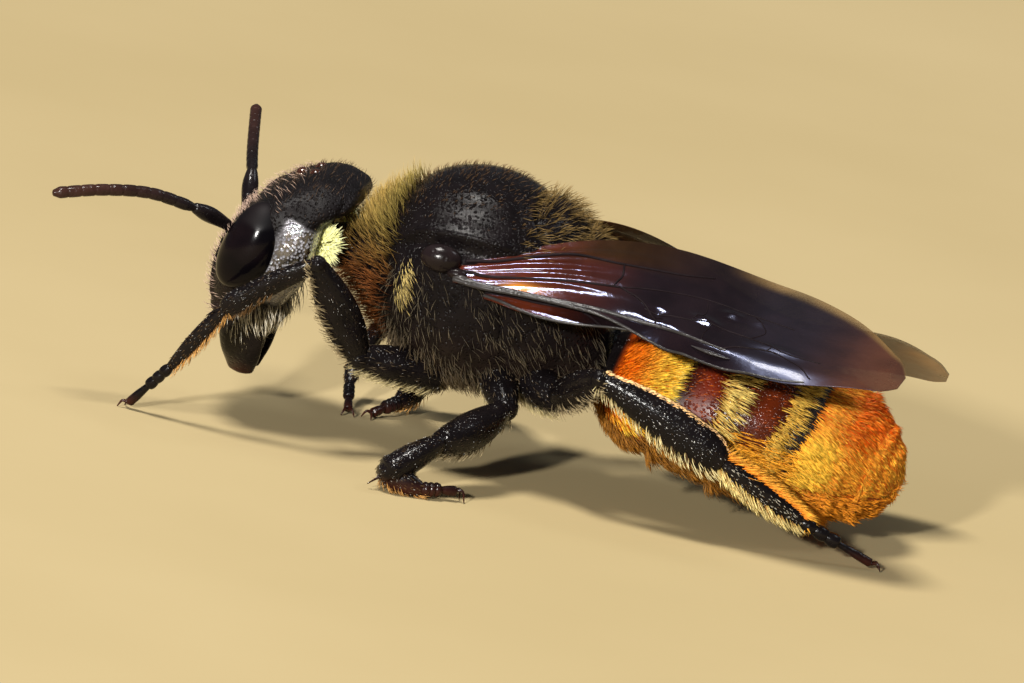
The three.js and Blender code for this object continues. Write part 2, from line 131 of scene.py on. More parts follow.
# %% [markdown]
# ## Round bars along a path
# Legs, feelers, jaws, claws and wing veins are all bars: a ring of points carried along a smooth
# path. Each bar has its own radius at each place, and may be flattened as a bee's shin is.

# %% Bars
def path_through(knots, count):
    """A smooth path through a few places: each coordinate is a cubic of the length so far."""
    knots = np.asarray(knots, float)
    run = np.concatenate([[0], np.cumsum(np.linalg.norm(np.diff(knots, axis=0), axis=1))])
    return spline(np.column_stack([run, knots]), np.linspace(0, run[-1], count))


def bar(path, radius, columns, flat=1.0, flat_axis=(1, 0, 0)):
    """Rings square to a path. Each ring is an ellipse: radius across the flat axis, and radius
    times flat along it. Half-round rows close both ends."""
    path = np.asarray(path, float)
    radius = np.broadcast_to(radius, len(path)).astype(float)
    flat = np.broadcast_to(flat, len(path)).astype(float)
    run = unit(np.gradient(path, axis=0))
    turn = np.radians([10, 40, 68])  # where the rows of a cap are, counted from its tip
    head = path[:1] - run[:1] * (radius[0] * 0.5 * np.cos(turn))[:, None]
    tail = path[-1:] + run[-1:] * (radius[-1] * 0.5 * np.cos(turn[::-1]))[:, None]
    path = np.concatenate([head, path, tail])
    run = np.concatenate([run[[0] * 3], run, run[[-1] * 3]])
    radius = np.concatenate([radius[0] * np.sin(turn), radius, radius[-1] * np.sin(turn[::-1])])
    flat = np.concatenate([flat[[0] * 3], flat, flat[[-1] * 3]])
    axis = np.asarray(flat_axis, float)
    thin = unit(axis - run * (run @ axis)[:, None])
    wide = np.cross(run, thin)
    a = np.linspace(0, 2 * np.pi, columns, endpoint=False)[:, None]
    ring = np.cos(a) * (thin * flat[:, None])[:, None] + np.sin(a) * wide[:, None]
    return path[:, None] + ring * radius[:, None, None]


# %% [markdown]
# ## From arrays to a Blender mesh
# A piece may join several closed surfaces. Its points can carry a colour, which the material reads
# from the attribute "tint", so a marking is painted by a function of place and travels with the
# mesh.

# %% Pieces
def srgb(code):
    """A colour written as six hex digits, turned into linear light."""
    c = np.array([int(code[k : k + 2], 16) / 255 for k in (0, 2, 4)])
    return np.where(c > 0.04045, ((c + 0.055) / 1.055) ** 2.4, c / 12.92)


def mix(a, b, share):
    """a where share is 0 and b where it is 1, for each point."""
    return a + (b - a) * np.asarray(share)[..., None]


def make(name, points, faces, material, replaces=(), tint=None, unwrap=None):
    """Puts points (mm) and triangles into a mesh object at the origin, which rides on the body.
    tint has three or four numbers for each point, and unwrap its place on the map for baking."""
    mesh = bpy.data.meshes.new(name)
    mesh.vertices.add(len(points))
    mesh.vertices.foreach_set("co", (points * MM).astype(np.float32).ravel())
    mesh.loops.add(faces.size)
    mesh.loops.foreach_set("vertex_index", faces.astype(np.int32).ravel())
    mesh.polygons.add(len(faces))
    mesh.polygons.foreach_set("loop_start", np.arange(0, faces.size, 3, dtype=np.int32))
    mesh.polygons.foreach_set("use_smooth", np.ones(len(faces), bool))
    if unwrap is not None:
        layer = mesh.uv_layers.new(name="OFBake")
        layer.data.foreach_set("uv", unwrap[faces.ravel()].astype(np.float32).ravel())
    if tint is not None:
        tint = np.atleast_2d(tint)
        colours = np.ones((len(points), 4))
        colours[:, : tint.shape[1]] = tint
        layer = mesh.color_attributes.new("tint", "FLOAT_COLOR", "POINT")
        layer.data.foreach_set("color", colours.astype(np.float32).ravel())
    mesh.update(calc_edges=True)
    mesh.materials.append(material)
    made = bpy.data.objects.new(name, mesh)
    bpy.context.scene.collection.objects.link(made)
    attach(made, "root")
    if replaces:
        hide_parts(*replaces)
    return made


def piece(name, grids, material, replaces=(), paint=None):
    """One object from grids of points. paint(points) gives its colours."""
    solids = [solid(P) for P in grids]
    starts = np.cumsum([0] + [len(p) for p, _ in solids])
    points = np.concatenate([p for p, _ in solids])
    faces = np.concatenate([f + n for (_, f), n in zip(solids, starts)])
    tint = None if paint is None else paint(points)
    return make(name, points, faces, material, replaces, tint)


# %% [markdown]
# ## Finishes
# Insect shell is black and glossy under thousands of small pits, and each pit catches the light on
# its rim. Worley cells give pits at any density, so one function makes every shell, with the pits'
# size and depth set for each plate. A low index of refraction keeps the shell black, because it
# mirrors less of a pale room. Everything reads Object coordinates, so a pattern stays put on the
# bee.

# %% Node helpers
def material(name, rough, **sockets):
    """A new material, its node tree and its Principled shader, whose sockets may be given."""
    made = bpy.data.materials.new(name)
    made.use_nodes = True
    shader = made.node_tree.nodes["Principled BSDF"]
    shader.inputs["Roughness"].default_value = rough
    for socket, value in sockets.items():
        shader.inputs[socket.replace("_", " ")].default_value = value
    return made, made.node_tree, shader


def node(tree, kind, inputs=(), **settings):
    """Adds a node. inputs gives (socket, value or output) pairs."""
    made = tree.nodes.new("ShaderNode" + kind)
    for key, value in settings.items():
        setattr(made, key, value)
    for socket, value in inputs:
        if isinstance(value, bpy.types.NodeSocket):
            tree.links.new(value, made.inputs[socket])
        else:
            made.inputs[socket].default_value = value
    return made


def place_of(tree):
    """Object coordinates, in metres."""
    return node(tree, "TexCoord").outputs["Object"]


def height_and_length(tree):
    """The z and the y of a place, in metres."""
    parts = node(tree, "SeparateXYZ", [("Vector", place_of(tree))]).outputs
    return parts["Z"], parts["Y"]


def noise(tree, scale, detail):
    """Cloudy noise, scale times to the metre."""
    pairs = [("Vector", place_of(tree)), ("Scale", scale), ("Detail", detail)]
    return node(tree, "TexNoise", pairs).outputs["Fac"]


def cells(tree, apart):
    """The distance to the nearest cell's middle, for cells so many millimetres apart."""
    pairs = [("Vector", place_of(tree)), ("Scale", 1 / (apart * MM))]
    return node(tree, "TexVoronoi", pairs).outputs["Distance"]


def maths(tree, operation, *values):
    """A Math node on its values, in their order."""
    return node(tree, "Math", enumerate(values), operation=operation).outputs[0]


def span(tree, value, low, high, to_low=0.0, to_high=1.0):
    """Moves a value from one range to another, eased at both ends and clamped."""
    pairs = [("Value", value), ("From Min", low), ("From Max", high)]
    pairs += [("To Min", to_low), ("To Max", to_high)]
    return node(tree, "MapRange", pairs, interpolation_type="SMOOTHSTEP").outputs["Result"]


def tint_of(tree, output):
    """The colour or the fourth number of the points, from their attribute "tint"."""
    return node(tree, "Attribute", attribute_name="tint").outputs[output]


def tinted(tree, shader, strength, grain):
    """Base colour from "tint", a little lighter and darker from place to place."""
    level = span(tree, noise(tree, grain, 3), 0.3, 0.7, 1 - strength, 1 + strength)
    scaled = node(
        tree, "VectorMath", [(0, tint_of(tree, "Color")), ("Scale", level)], operation="SCALE"
    )
    tree.links.new(scaled.outputs["Vector"], shader.inputs["Base Color"])


def two_tones(tree, shader, share, low, high):
    """Base colour that goes from one colour to another as share goes from 0 to 1."""
    ramp = node(tree, "ValToRGB", [("Fac", share)])
    for stop, code in zip(ramp.color_ramp.elements, (low, high)):
        stop.color = (*srgb(code), 1)
    tree.links.new(ramp.outputs["Color"], shader.inputs["Base Color"])


def dent(tree, shader, height, depth):
    """Bends the light as if a height of 1 stood depth millimetres above a height of 0."""
    raised = node(tree, "Bump", [("Height", height), ("Distance", depth * MM)])
    tree.links.new(raised.outputs["Normal"], shader.inputs["Normal"])


# %% Shells, eyes and hair
PIT = (0.1, 0.5)  # from a pit's floor to its rim, as distances in its cell
WALL = (0.28, 0.58)  # where the mirror begins and is full, outside a pit
DULLNESS = 0.35  # added to the roughness where a plate isn't polished


def shell(name, rough, pits, depth, ior=1.26, mirror=False):
    """Tinted shell with pits a given number of millimetres apart and so many millimetres deep. The
    fourth number of "tint" is its polish: 1 for the full gloss, 0 for a matt surface. With mirror,
    the walls between the pits of a polished place reflect like metal."""
    made, tree, shader = material(name, rough, IOR=ior)
    tinted(tree, shader, 0.25, 2500)
    distance = cells(tree, pits)
    dish = span(tree, distance, *PIT)
    dent(tree, shader, maths(tree, "MULTIPLY_ADD", noise(tree, 60000, 2), 0.25, dish), depth)
    gloss = span(tree, dish, 0.0, 1.0, rough + 0.08, rough)
    polish = tint_of(tree, "Alpha")
    dull = maths(tree, "ADD", span(tree, polish, 0.0, 1.0, DULLNESS, 0.0), gloss)
    tree.links.new(dull, shader.inputs["Roughness"])
    if mirror:
        shine = maths(tree, "MULTIPLY", span(tree, polish, 0.3, 1.0), span(tree, distance, *WALL))
        tree.links.new(shine, shader.inputs["Metallic"])
    return made


HEAD_SHELL = shell("head_shell", 0.07, 0.07, 0.022, ior=1.2, mirror=True)
PITTED = shell("pitted_shell", 0.1, 0.08, 0.018, ior=1.17)
SMOOTH = shell("smooth_shell", 0.2, 0.11, 0.006)
LEG_SHELL = shell("leg_shell", 0.12, 0.065, 0.009, ior=1.24)
VEIN_SHELL = shell("vein_shell", 0.5, 0.11, 0.003, ior=1.12)
RINGED = shell("abdomen_shell", 0.15, 0.07, 0.013, ior=1.32)


def eye_material():
    """A polished lens: facets 0.03 mm apart barely dent its near-black brown. It is duller above,
    so that the lamp overhead leaves one small glint."""
    made, tree, shader = material("eye_lens", 0.13, IOR=1.2)
    dent(tree, shader, cells(tree, 0.03), 0.0008)
    two_tones(tree, shader, span(tree, noise(tree, 1200, 2), 0.35, 0.7), "050406", "0d080a")
    height, _ = height_and_length(tree)
    rough = span(tree, height, 4.35 * MM, 4.6 * MM, 0.13, 0.6)
    tree.links.new(rough, shader.inputs["Roughness"])
    return made


def hair_material():
    """Dry hair with a faint gloss: its colour is in "tint", from root to tip."""
    made, tree, shader = material("hair", 0.5, IOR=1.25)
    tinted(tree, shader, 0.2, 9000)
    return made


EYE, HAIR = eye_material(), hair_material()
print("materials:", [m.name for m in bpy.data.materials][-5:])

# %% [markdown]
# ## The head
# The head is a capsule, flattened from front to back and leaning back by 20 degrees. Its own axes
# make it easier to shape: side, height on the crown axis and depth towards the face. Plates of the
# face, the sockets of the feelers and the swellings behind the eyes are raised from it along its
# normals.

# %% Head capsule
HEAD_CENTRE, LEAN = np.array([0, -4.6, 3.85]), np.radians(20)
LEFT, UP = np.array([1.0, 0, 0]), np.array([0, 0, 1.0])
CROWN = np.array([0, np.sin(LEAN), np.cos(LEAN)])
FACE = np.array([0, -np.cos(LEAN), np.sin(LEAN)])
HEAD = [  # height, half width, depth of the face, depth of the back of the head
    [-2.08, 0.3, 0.5, -0.2],
    [-2.0, 0.8, 0.66, 0.02],
    [-1.6, 1.27, 0.92, 0.34],
    [-0.8, 1.8, 1.19, 0.66],
    [0.0, 2.05, 1.22, 0.74],
    [0.45, 2.07, 1.12, 0.66],
    [0.8, 2.04, 1.0, 0.52],
    [1.1, 1.93, 0.84, 0.5],
    [1.35, 1.77, 0.64, 0.72],
    [1.6, 1.53, 0.41, 0.86],
    [1.88, 1.02, 0.06, 0.8],
    [2.0, 0.55, -0.2, 0.66],
    [2.03, 0.2, -0.32, 0.55],
]


def on_head(side, height, depth):
    """HEAD_CENTRE + side * left + height * crown + depth * face, for numbers or arrays."""
    side, height, depth = (np.asarray(v, float)[..., None] for v in (side, height, depth))
    return HEAD_CENTRE + side * LEFT + height * CROWN + depth * FACE


def head_places(points):
    """The side, height and depth of each point: on_head turned round."""
    off = points - HEAD_CENTRE
    return off @ LEFT, off @ CROWN, off @ FACE


def head_grid(rows=170, columns=190):
    """Rings round the crown axis, closer together at both poles, raised along their normals."""
    share = (1 - np.cos(np.pi * np.linspace(0, 1, rows))) / 2
    height = HEAD[0][0] + (HEAD[-1][0] - HEAD[0][0]) * share
    half, face, back = spline(HEAD, height).T
    centre = on_head(0 * height, height, (face - back) / 2)
    thick = (face + back) / 2
    P = rings(centre, LEFT, FACE, half, thick, thick, columns, (2.9, 5))
    side, height, depth = head_places(P)
    wide = np.abs(side)
    front, rear = ease(0.2, 0.6, depth), ease(-0.15, -0.5, depth)
    clypeus = ease(0.16, 0, np.abs(wide - 0.35 * ease(-0.35, -1.2, height)) - 0.5)
    clypeus = clypeus * ease(-0.25, -0.42, height) * ease(-1.75, -1.6, height)
    socket = np.hypot(wide - 0.5, height + 0.1)  # distance from the root of a feeler
    relief = 0.07 * clypeus * front  # the shield above the mouth
    relief -= 0.03 * bump(socket, 0.24, 0.05) * front
    relief -= 0.06 * bump(socket, 0.0, 0.15) * front
    brow = ease(0.0, 0.3, height) * ease(1.35, 1.0, height)
    relief -= 0.025 * bump(wide, 0, 0.035) * front * brow  # a groove up the middle
    relief += 0.05 * bump(wide, 0, 0.25) * bump(height, -0.1, 0.3) * front
    relief += 0.06 * bump(depth, -0.35, 0.3) * ease(0.9, 1.5, wide)  # swollen behind the eyes
    relief -= 0.12 * rear * ease(1.5, 0.9, np.hypot(side, height - 0.1))  # hollow at the neck
    relief -= 0.03 * bump(depth, -0.62, 0.06) * ease(1.0, 1.4, wide)
    return P + normals(P) * relief[..., None]


BLACK = srgb("0d0a0b")


def head_paint(points):
    """Black, a little browner towards the mouth, and polished only behind the eyes, where a pale
    silver is painted: the mirror's colour on the walls between pits, and painted glints in the
    pits.
    """
    side, height, depth = head_places(points)
    colour = mix(BLACK, srgb("1d1410"), ease(-0.8, -2.0, height))
    polish = ease(1.0, 0.85, height) * ease(-1.2, -0.75, height) * ease(1.2, 1.6, np.abs(side))
    polish = polish * ease(0.36, 0.1, depth)
    # Behind the eyes the pale silver is partly the mirror's colour on the pit walls and partly
    # painted glints, since the pits show it as plain pale colour.
    return np.column_stack([mix(colour, srgb("86858b"), ease(0.3, 1.0, polish)), polish])


def mouth_bar(heights, depths, radius, columns, flat=1.0, flat_axis=(1, 0, 0)):
    """A bar through three places in the middle plane of the head."""
    return bar(on_head([0, 0, 0], heights, depths), radius, columns, flat, flat_axis)


HEAD_GRID = head_grid()
gullet = mouth_bar([-1.3, -2.0, -2.35], [-0.15, -0.1, -0.1], [0.6, 0.5, 0.2], 24, 1.3)
lip = mouth_bar([-1.7, -2.1, -2.45], [0.5, 0.36, 0.1], [0.42, 0.4, 0.2], 24, 0.4, FACE)
tongue = mouth_bar([-1.8, -2.3, -2.62], [-0.3, -0.45, -0.42], [0.24, 0.2, 0.09], 20)
head_grids = [HEAD_GRID, gullet, lip, tongue]
piece("head_shell", head_grids, HEAD_SHELL, ["head"], head_paint)

# %% [markdown]
# ## Eyes
# Two long lenses bulge from the sides of the head, and three small round ones sit on the crown.
# They are separate pieces, because their polish is nothing like the pitted shell round them.

# %% Eyes and ocelli
TURN = np.radians(25)  # how far an eye looks forwards
EYE_HEIGHT, EYE_HALF = -0.12, 1.02  # the middle of an eye on the crown axis, and half its length
for name, hand in SIDES.items():
    gaze = hand * np.cos(TURN) * LEFT + np.sin(TURN) * FACE
    axes = [gaze, CROWN, np.cross(gaze, CROWN)]
    middle = on_head(hand * 1.68, EYE_HEIGHT, 0.58)
    ball = ellipsoid(middle, axes, [0.56, EYE_HALF, 0.63], 90, 120)
    _, height, _ = head_places(ball)
    ball = ball + 0.09 * FACE * (((height - EYE_HEIGHT) / EYE_HALF) ** 2)[..., None]
    piece(f"eye_{name}_lens", [ball], EYE, [f"eye_{name}"])
OCELLI = {"middle": [0, 1.42, 0.54], "left": [0.4, 1.63, 0.26], "right": [-0.4, 1.63, 0.26]}
amber, tree, shader = material("ocellus_lens", 0.08, Coat_Weight=0.8, Coat_Roughness=0.03)
tinted(tree, shader, 0.3, 9000)
for name, (side, height, depth) in OCELLI.items():
    dome = ellipsoid(on_head(side, height, depth), [LEFT, FACE, CROWN], [0.15] * 3, 30, 36)
    piece(f"ocellus_{name}_lens", [dome], amber, [f"ocellus_{name}"],
          paint=lambda p: srgb("2c140c"))
print("eyes:", 2 + len(OCELLI))

# %% [markdown]
# ## Jaws
# A resin bee carries and shapes resin with broad, flat jaws, each with teeth along its end. A jaw
# is a flattened bar that bends inwards, with short cones for teeth, and turns red-brown at the
# tip.

# %% Mandibles
def jaw(hand):
    """A blade that narrows and bends inwards, a ridge along it, and three teeth at its end."""
    knots = np.array([[1.12, -1.2, 0.25], [1.1, -1.75, -0.02], [0.82, -2.35, -0.28],
                      [0.42, -2.8, -0.46]])  # side, height, depth
    path = path_through(on_head(hand * knots[:, 0], knots[:, 1], knots[:, 2]), 40)
    share = np.linspace(0, 1, 40)
    radius = spline([[0, 0.42], [0.3, 0.5], [0.7, 0.45], [1, 0.3]], share)[:, 0]
    inner = unit(np.cross(path[-1] - path[0], FACE)) * -hand
    blade = bar(path, radius, 28, 0.55 - 0.2 * share, inner)
    ridge = bar(path[4:34] + 0.2 * FACE + hand * 0.1 * LEFT, 0.09 - 0.05 * share[4:34], 10)
    onward = unit(path[-1] - path[-6])
    teeth = []
    for offset, reach in ((0.2, 0.24), (0.0, 0.15), (-0.17, 0.12)):
        root = path[-1] + offset * FACE - 0.06 * onward
        tooth = path_through([root, root + onward * reach * 0.6, root + onward * reach], 6)
        teeth.append(bar(tooth, np.linspace(0.13, 0.03, 6), 12, 0.6, inner))
    return [blade, ridge, *teeth]


def jaw_paint(points):
    """Black, and red-brown at the teeth."""
    _, height, _ = head_places(points)
    return mix(srgb("0f0b0b"), srgb("35160d"), ease(-2.5, -3.05, height))


for name, hand in SIDES.items():
    piece(f"mandible_{name}_jaw", jaw(hand), SMOOTH, [f"mandible_{name}"], jaw_paint)
print("jaws:", len(SIDES))

# %% [markdown]
# ## Feelers
# A feeler is a chain: a long first piece, a short bead at the elbow and ten more joints, each
# drawn in where it meets the next. One bar does for the ten, because only its radius changes along
# the way.

# %% Antennae
FEELERS = {  # root, elbow, then places along the whip
    "left": [[0.5, -5.7, 3.95], [1.28, -6.58, 4.42], [1.7, -7.54, 4.62], [2.1, -8.44, 4.57],
             [2.5, -9.45, 4.36]],
    "right": [[-0.5, -5.7, 3.95], [-1.2, -5.85, 4.95], [-2.0, -6.02, 5.2], [-2.85, -6.18, 5.52],
              [-3.7, -6.33, 5.84]],
}
JOINTS = 10.6  # of the whip, the first of them 0.6 long


def feeler(knots):
    """The first piece as a club, and the whip, whose radius dips where two joints meet."""
    knots = np.array(knots)
    scape = path_through([knots[0], knots[:2].mean(0) + [0, 0, 0.03], knots[1]], 24)
    club = spline([[0, 0.09], [0.3, 0.13], [0.8, 0.17], [1, 0.12]], np.linspace(0, 1, 24))[:, 0]
    whip = path_through(knots[1:], 150)
    share = np.linspace(0, 1, 150)
    place = (share * JOINTS - 0.6).clip(0) % 1  # where a ring is within its own joint
    waist = bump(place, 0, 0.06) + bump(place, 1, 0.06)
    joint = 0.124 + 0.005 * np.sin(np.pi * place) - 0.01 * waist
    joint = joint * (1 - 0.35 * ease(0.955, 1, share)) * (1 - 0.25 * ease(0.06, 0, share))
    return [bar(scape, club, 18)], [bar(whip, joint, 18)]


def feeler_paint(points):
    """Black near the face, and faintly red-brown farther out."""
    away = np.linalg.norm(points - on_head(0, 0, 1.2), axis=1)
    return mix(srgb("110d0e"), srgb("2b1a16"), ease(1.5, 4.2, away))


for name, knots in FEELERS.items():
    for part, grids in zip(("scape", "flagellum"), feeler(knots)):
        node_name = f"antenna_{name}_{part}"
        piece(f"{node_name}_shell", grids, SMOOTH, [node_name], feeler_paint)

# %% [markdown]
# ## Thorax
# The thorax holds the wing muscles. Its back is a domed plate with a low hump behind it, parted by
# a groove, and its sides have seams of their own. The rings give the dome, and grooves, rims and
# humps are bells of the place along the body and of the angle round it.

# %% Thorax
THORAX = [  # y, height of the axis, half width, rise to the back, drop to the breast, with hair
    [-3.75, 4.05, 0.7, 0.55, 0.6],
    [-3.15, 4.1, 1.1, 0.8, 0.9],
    [-2.6, 4.1, 1.65, 1.4, 1.5],
    [-2.05, 4.1, 2.08, 2.08, 1.95],
    [-1.2, 4.05, 2.33, 2.36, 2.55],
    [-0.2, 4.0, 2.4, 2.42, 2.62],
    [0.8, 4.0, 2.22, 2.2, 2.6],
    [1.55, 3.9, 1.88, 2.02, 2.4],
    [2.1, 3.6, 1.45, 1.8, 1.95],
    [2.4, 3.15, 1.05, 1.2, 1.25],
    [2.52, 2.95, 0.85, 0.85, 0.85],
]
COAT_DEPTH = [  # y, depth of the coat over the back, at the sides and under the breast
    [-3.75, 0.12, 0.12, 0.12],
    [-2.9, 0.34, 0.34, 0.3],
    [-2.2, 0.4, 0.3, 0.3],
    [-1.3, 0.17, 0.2, 0.34],
    [0.2, 0.15, 0.22, 0.36],
    [0.7, 0.24, 0.24, 0.36],
    [1.4, 0.34, 0.3, 0.34],
    [2.52, 0.25, 0.25, 0.25],
]


def trunk(table, depth, at, columns, lean=0.0):
    """Rings of a body table, drawn in from the tips of its hair by the depth of the coat."""
    z, half, up, down = spline(table, at).T
    back, flank, belly = spline(depth, at).T
    rise = np.array([0, np.sin(lean), np.cos(lean)])
    centre = np.column_stack([0 * at, at, z])
    return rings(centre, LEFT, rise, half - flank, up - back, down - belly, columns)


def body_angle(P):
    """Degrees round the body for each column, from -180 to 180, with the back at 90."""
    a = np.degrees(np.linspace(0, 2 * np.pi, P.shape[1], endpoint=False))
    a = np.where(a > 180, a - 360, a)
    return np.where(np.abs(a) > 90, np.sign(a) * 180 - a, a)[None] + 0 * P[..., 1]


def thorax_grid(rows=190, columns=200):
    """The body's rings, with grooves between its plates, and a rim and a groove at the wings."""
    at = np.linspace(-3.75, 2.52, rows)
    P = trunk(THORAX, COAT_DEPTH, at, columns)
    y, angle = P[..., 1], body_angle(P)
    back = ease(30, 60, angle)
    groove = 0.62 + 0.5 * ease(62, 30, angle)  # the hump's front edge curves back at its sides
    relief = -0.12 * bump(y, groove, 0.09) * ease(20, 50, angle)
    relief += 0.12 * bump(y, 1.1, 0.4) * ease(45, 75, angle)  # the hump
    relief -= 0.09 * bump(y, 1.66, 0.07) * back
    relief += 0.03 * bump(y, -0.6, 1.0) * bump(angle, 58, 12)
    relief -= 0.035 * bump(y, -0.9, 1.1) * bump(angle, 44, 7)
    rim = bump(angle, 27 - 6 * ease(-1.6, -2.3, y), 3.2)
    relief += 0.085 * rim * ease(-2.4, -2.0, y) * ease(0.6, 0.1, y)
    relief -= 0.1 * bump(angle, 18, 6) * ease(-2.2, -1.8, y) * ease(1.2, 0.6, y)
    relief += 0.11 * bump(y, -1.95, 0.2) * bump(angle, -4, 10)  # the shoulder
    seam = bump(y, -1.62 + 0.004 * (angle + 30), 0.07)
    relief -= 0.06 * seam * ease(5, -5, angle) * ease(-70, -50, angle)
    relief += 0.08 * bump(y, -0.6, 0.7) * bump(angle, -25, 22)
    seam = bump(y, 0.45 - 0.006 * (angle + 20), 0.08)
    relief -= 0.06 * seam * ease(10, 0, angle) * ease(-75, -55, angle)
    relief -= 0.05 * bump(y, -2.55, 0.1) * ease(80, 50, np.abs(angle))
    return P + normals(P) * relief[..., None]


def thorax_paint(points):
    """Black, and a little browner at the breast."""
    return mix(BLACK, srgb("1c1512"), ease(3.6, 2.0, points[:, 2]))


THORAX_GRID = thorax_grid()
piece("thorax_shell", [THORAX_GRID], PITTED, ["thorax"], thorax_paint)
for name, hand in SIDES.items():
    axes = [UP, LEFT * hand, np.cross(UP, LEFT * hand)]
    cap = ellipsoid([hand * 2.22, -1.13, 4.66], axes, [0.3, 0.27, 0.44], 40, 48)
    knuckle = ellipsoid([hand * 2.32, -0.72, 4.42], np.eye(3), [0.14, 0.22, 0.13], 20, 24)
    piece(f"tegula_{name}_cap", [cap, knuckle], SMOOTH, [f"tegula_{name}"],
          paint=lambda p: srgb("150f10"))
print("thorax:", THORAX_GRID.shape)

# %% [markdown]
# ## Abdomen
# Six rings slide into each other like the parts of a telescope. Each is its own closed shell: its
# front is tucked under the ring before it, and its hind rim flares a little and turns in. The first
# ring is orange, the next two are a dark red-brown, and from the fourth on they are amber.

# %% Abdomen
ABDOMEN = [  # as for the thorax: y, height of the axis, half width, rise to the back, drop
    [2.55, 2.8, 0.8, 0.8, 0.85],
    [2.85, 2.45, 1.45, 1.3, 1.05],
    [3.3, 2.3, 1.98, 1.62, 1.42],
    [4.3, 2.25, 2.32, 1.74, 1.68],
    [5.5, 2.2, 2.4, 1.76, 1.85],
    [6.6, 2.1, 2.3, 1.68, 1.95],
    [7.5, 2.0, 2.05, 1.52, 1.94],
    [8.2, 1.9, 1.68, 1.28, 1.78],
    [8.7, 1.75, 1.24, 0.95, 1.46],
    [9.0, 1.65, 0.78, 0.6, 1.04],
    [9.14, 1.55, 0.34, 0.25, 0.5],
]
FUR_DEPTH = [  # y, depth of the coat over the back, at the sides and under the belly
    [2.55, 0.12, 0.12, 0.15],
    [3.3, 0.14, 0.14, 0.4],
    [5.5, 0.12, 0.12, 0.5],
    [6.8, 0.13, 0.13, 0.48],
    [7.3, 0.17, 0.17, 0.44],
    [8.6, 0.2, 0.2, 0.34],
    [9.14, 0.16, 0.16, 0.16],
]
RIMS = [2.55, 4.05, 5.5, 6.86, 7.85, 8.55, 9.14]  # y of the first ring's front, then of each rim
TIP_BACK = np.radians(13)  # how far the rings lean
TUCK = 0.22  # how far a ring's front reaches under the ring before it


def abdomen_ring(front, rim, rows=70, columns=180):
    """One ring from its tucked front to its rim, with a line where back meets belly."""
    tuck = 0.0 if front == RIMS[0] else TUCK
    at = np.linspace(front - tuck, rim, rows)
    P = trunk(ABDOMEN, FUR_DEPTH, at, columns, TIP_BACK)
    angle = body_angle(P)
    place = at[:, None] + 0 * angle
    relief = -0.07 * ease(front + 0.02, front - 0.12, place) * (tuck > 0)
    relief -= (0.03 if rim < RIMS[4] else 0.0) * ease(rim - 0.34, rim - 0.26, place)
    relief += 0.02 * bump(place, rim - 0.03, 0.06) - 0.05 * ease(rim - 0.025, rim, place)
    relief -= 0.05 * bump(angle, -24, 3)
    relief -= 0.03 * ease(-24, -34, angle)
    return P + normals(P) * relief[..., None]


def ring_place(points):
    """How far back a point is along the leaning rings: y - (z - 2.15) tan(lean)."""
    return points[..., 1] - (points[..., 2] - 2.15) * np.tan(TIP_BACK)


def flank(p):
    """1 low on the flanks and 0 on the back."""
    return ease(2.9, 2.1, p[..., 2])


BLACK_LINE = 7.05  # the ring place where the bare black line runs round the body


def amber_paint(points):
    """From orange through red-brown and almost black at the third rim to amber, and dull brown
    below. Only the second ring and the tail are matt."""
    place, height = ring_place(points), points[:, 2]
    red = mix(BLACK, srgb("c8500a"), ease(2.6, 2.85, place))
    red = mix(red, srgb("180a07"), ease(3.85, 4.1, place))
    red = mix(red, srgb("5c1c08"), bump(place, 4.75, 0.35))
    red = mix(red, srgb("4a1a08"), bump(place, 6.1, 0.4))
    red = mix(red, srgb("090505"), bump(place, BLACK_LINE - 0.15 * flank(points), 0.2))
    tail = mix(red, srgb("c4560a"), ease(7.2, 7.5, place + 0.2 * flank(points)))
    colour = mix(srgb("5a2c0c"), tail, ease(0.9, 1.6, height))
    polish = 1 - np.maximum(0.7 * bump(place, 4.6, 0.5), ease(6.7, 6.9, place))
    return np.column_stack([colour, polish])


ABDOMEN_GRIDS = [abdomen_ring(front, rim) for front, rim in zip(RIMS[:-1], RIMS[1:])]
for k, grid in enumerate(ABDOMEN_GRIDS, 1):
    piece(f"abdomen_{k}_shell", [grid], RINGED, [f"abdomen_{k}"], amber_paint)
print("abdomen rings:", len(ABDOMEN_GRIDS))

# %% [markdown]
# ## Legs
# Every leg is hip, thigh, shin and a foot of five joints that ends in two claws. The six differ
# only in where their joints are and in how stout each part is, so one function makes them all. A
# foot's claws come to rest on the floor.

# %% Legs
LEGS = {  # hip, end of the hip piece, knee, ankle, end of the long foot joint, toe
    "foreleg_left": [[0.9, -0.95, 1.95], [1.8, -2.5, 2.12], [2.9, -3.6, 4.12],
                     [2.78, -5.38, 2.74], [2.35, -6.33, 1.2], [1.95, -7.14, 0]],
    "midleg_left": [[1.2, 0.35, 2.3], [2.05, 0.8, 1.74], [3.9, -0.22, 1.16],
                    [4.5, -1.2, 0.36], [4.5, -0.4, 0.2], [4.1, 0.3, 0.1]],
    "hindleg_left": [[1.0, 1.1, 2.3], [1.6, 1.75, 2.05], [3.1, 2.75, 3.02],
                     [3.05, 5.6, 1.8], [2.62, 7.42, 0.84], [2.12, 9.05, 0]],
    "foreleg_right": [[-0.9, -0.95, 1.95], [-1.8, -2.0, 1.95], [-3.8, -2.3, 2.4],
                      [-3.4, -3.15, 1.05], [-2.7, -3.12, 0.52], [-1.95, -2.96, 0]],
    "midleg_right": [[-1.2, 0.35, 2.3], [-2.1, 0.5, 1.95], [-4.0, -0.3, 2.2],
                     [-3.4, -1.6, 0.72], [-2.75, -2.0, 0.34], [-2.08, -2.44, 0]],
    "hindleg_right": [[-1.0, 1.1, 2.3], [-1.6, 1.75, 2.05], [-3.2, 2.75, 2.95],
                      [-4.05, 5.1, 1.35], [-4.2, 6.75, 0.6], [-4.25, 8.1, 0]],
}
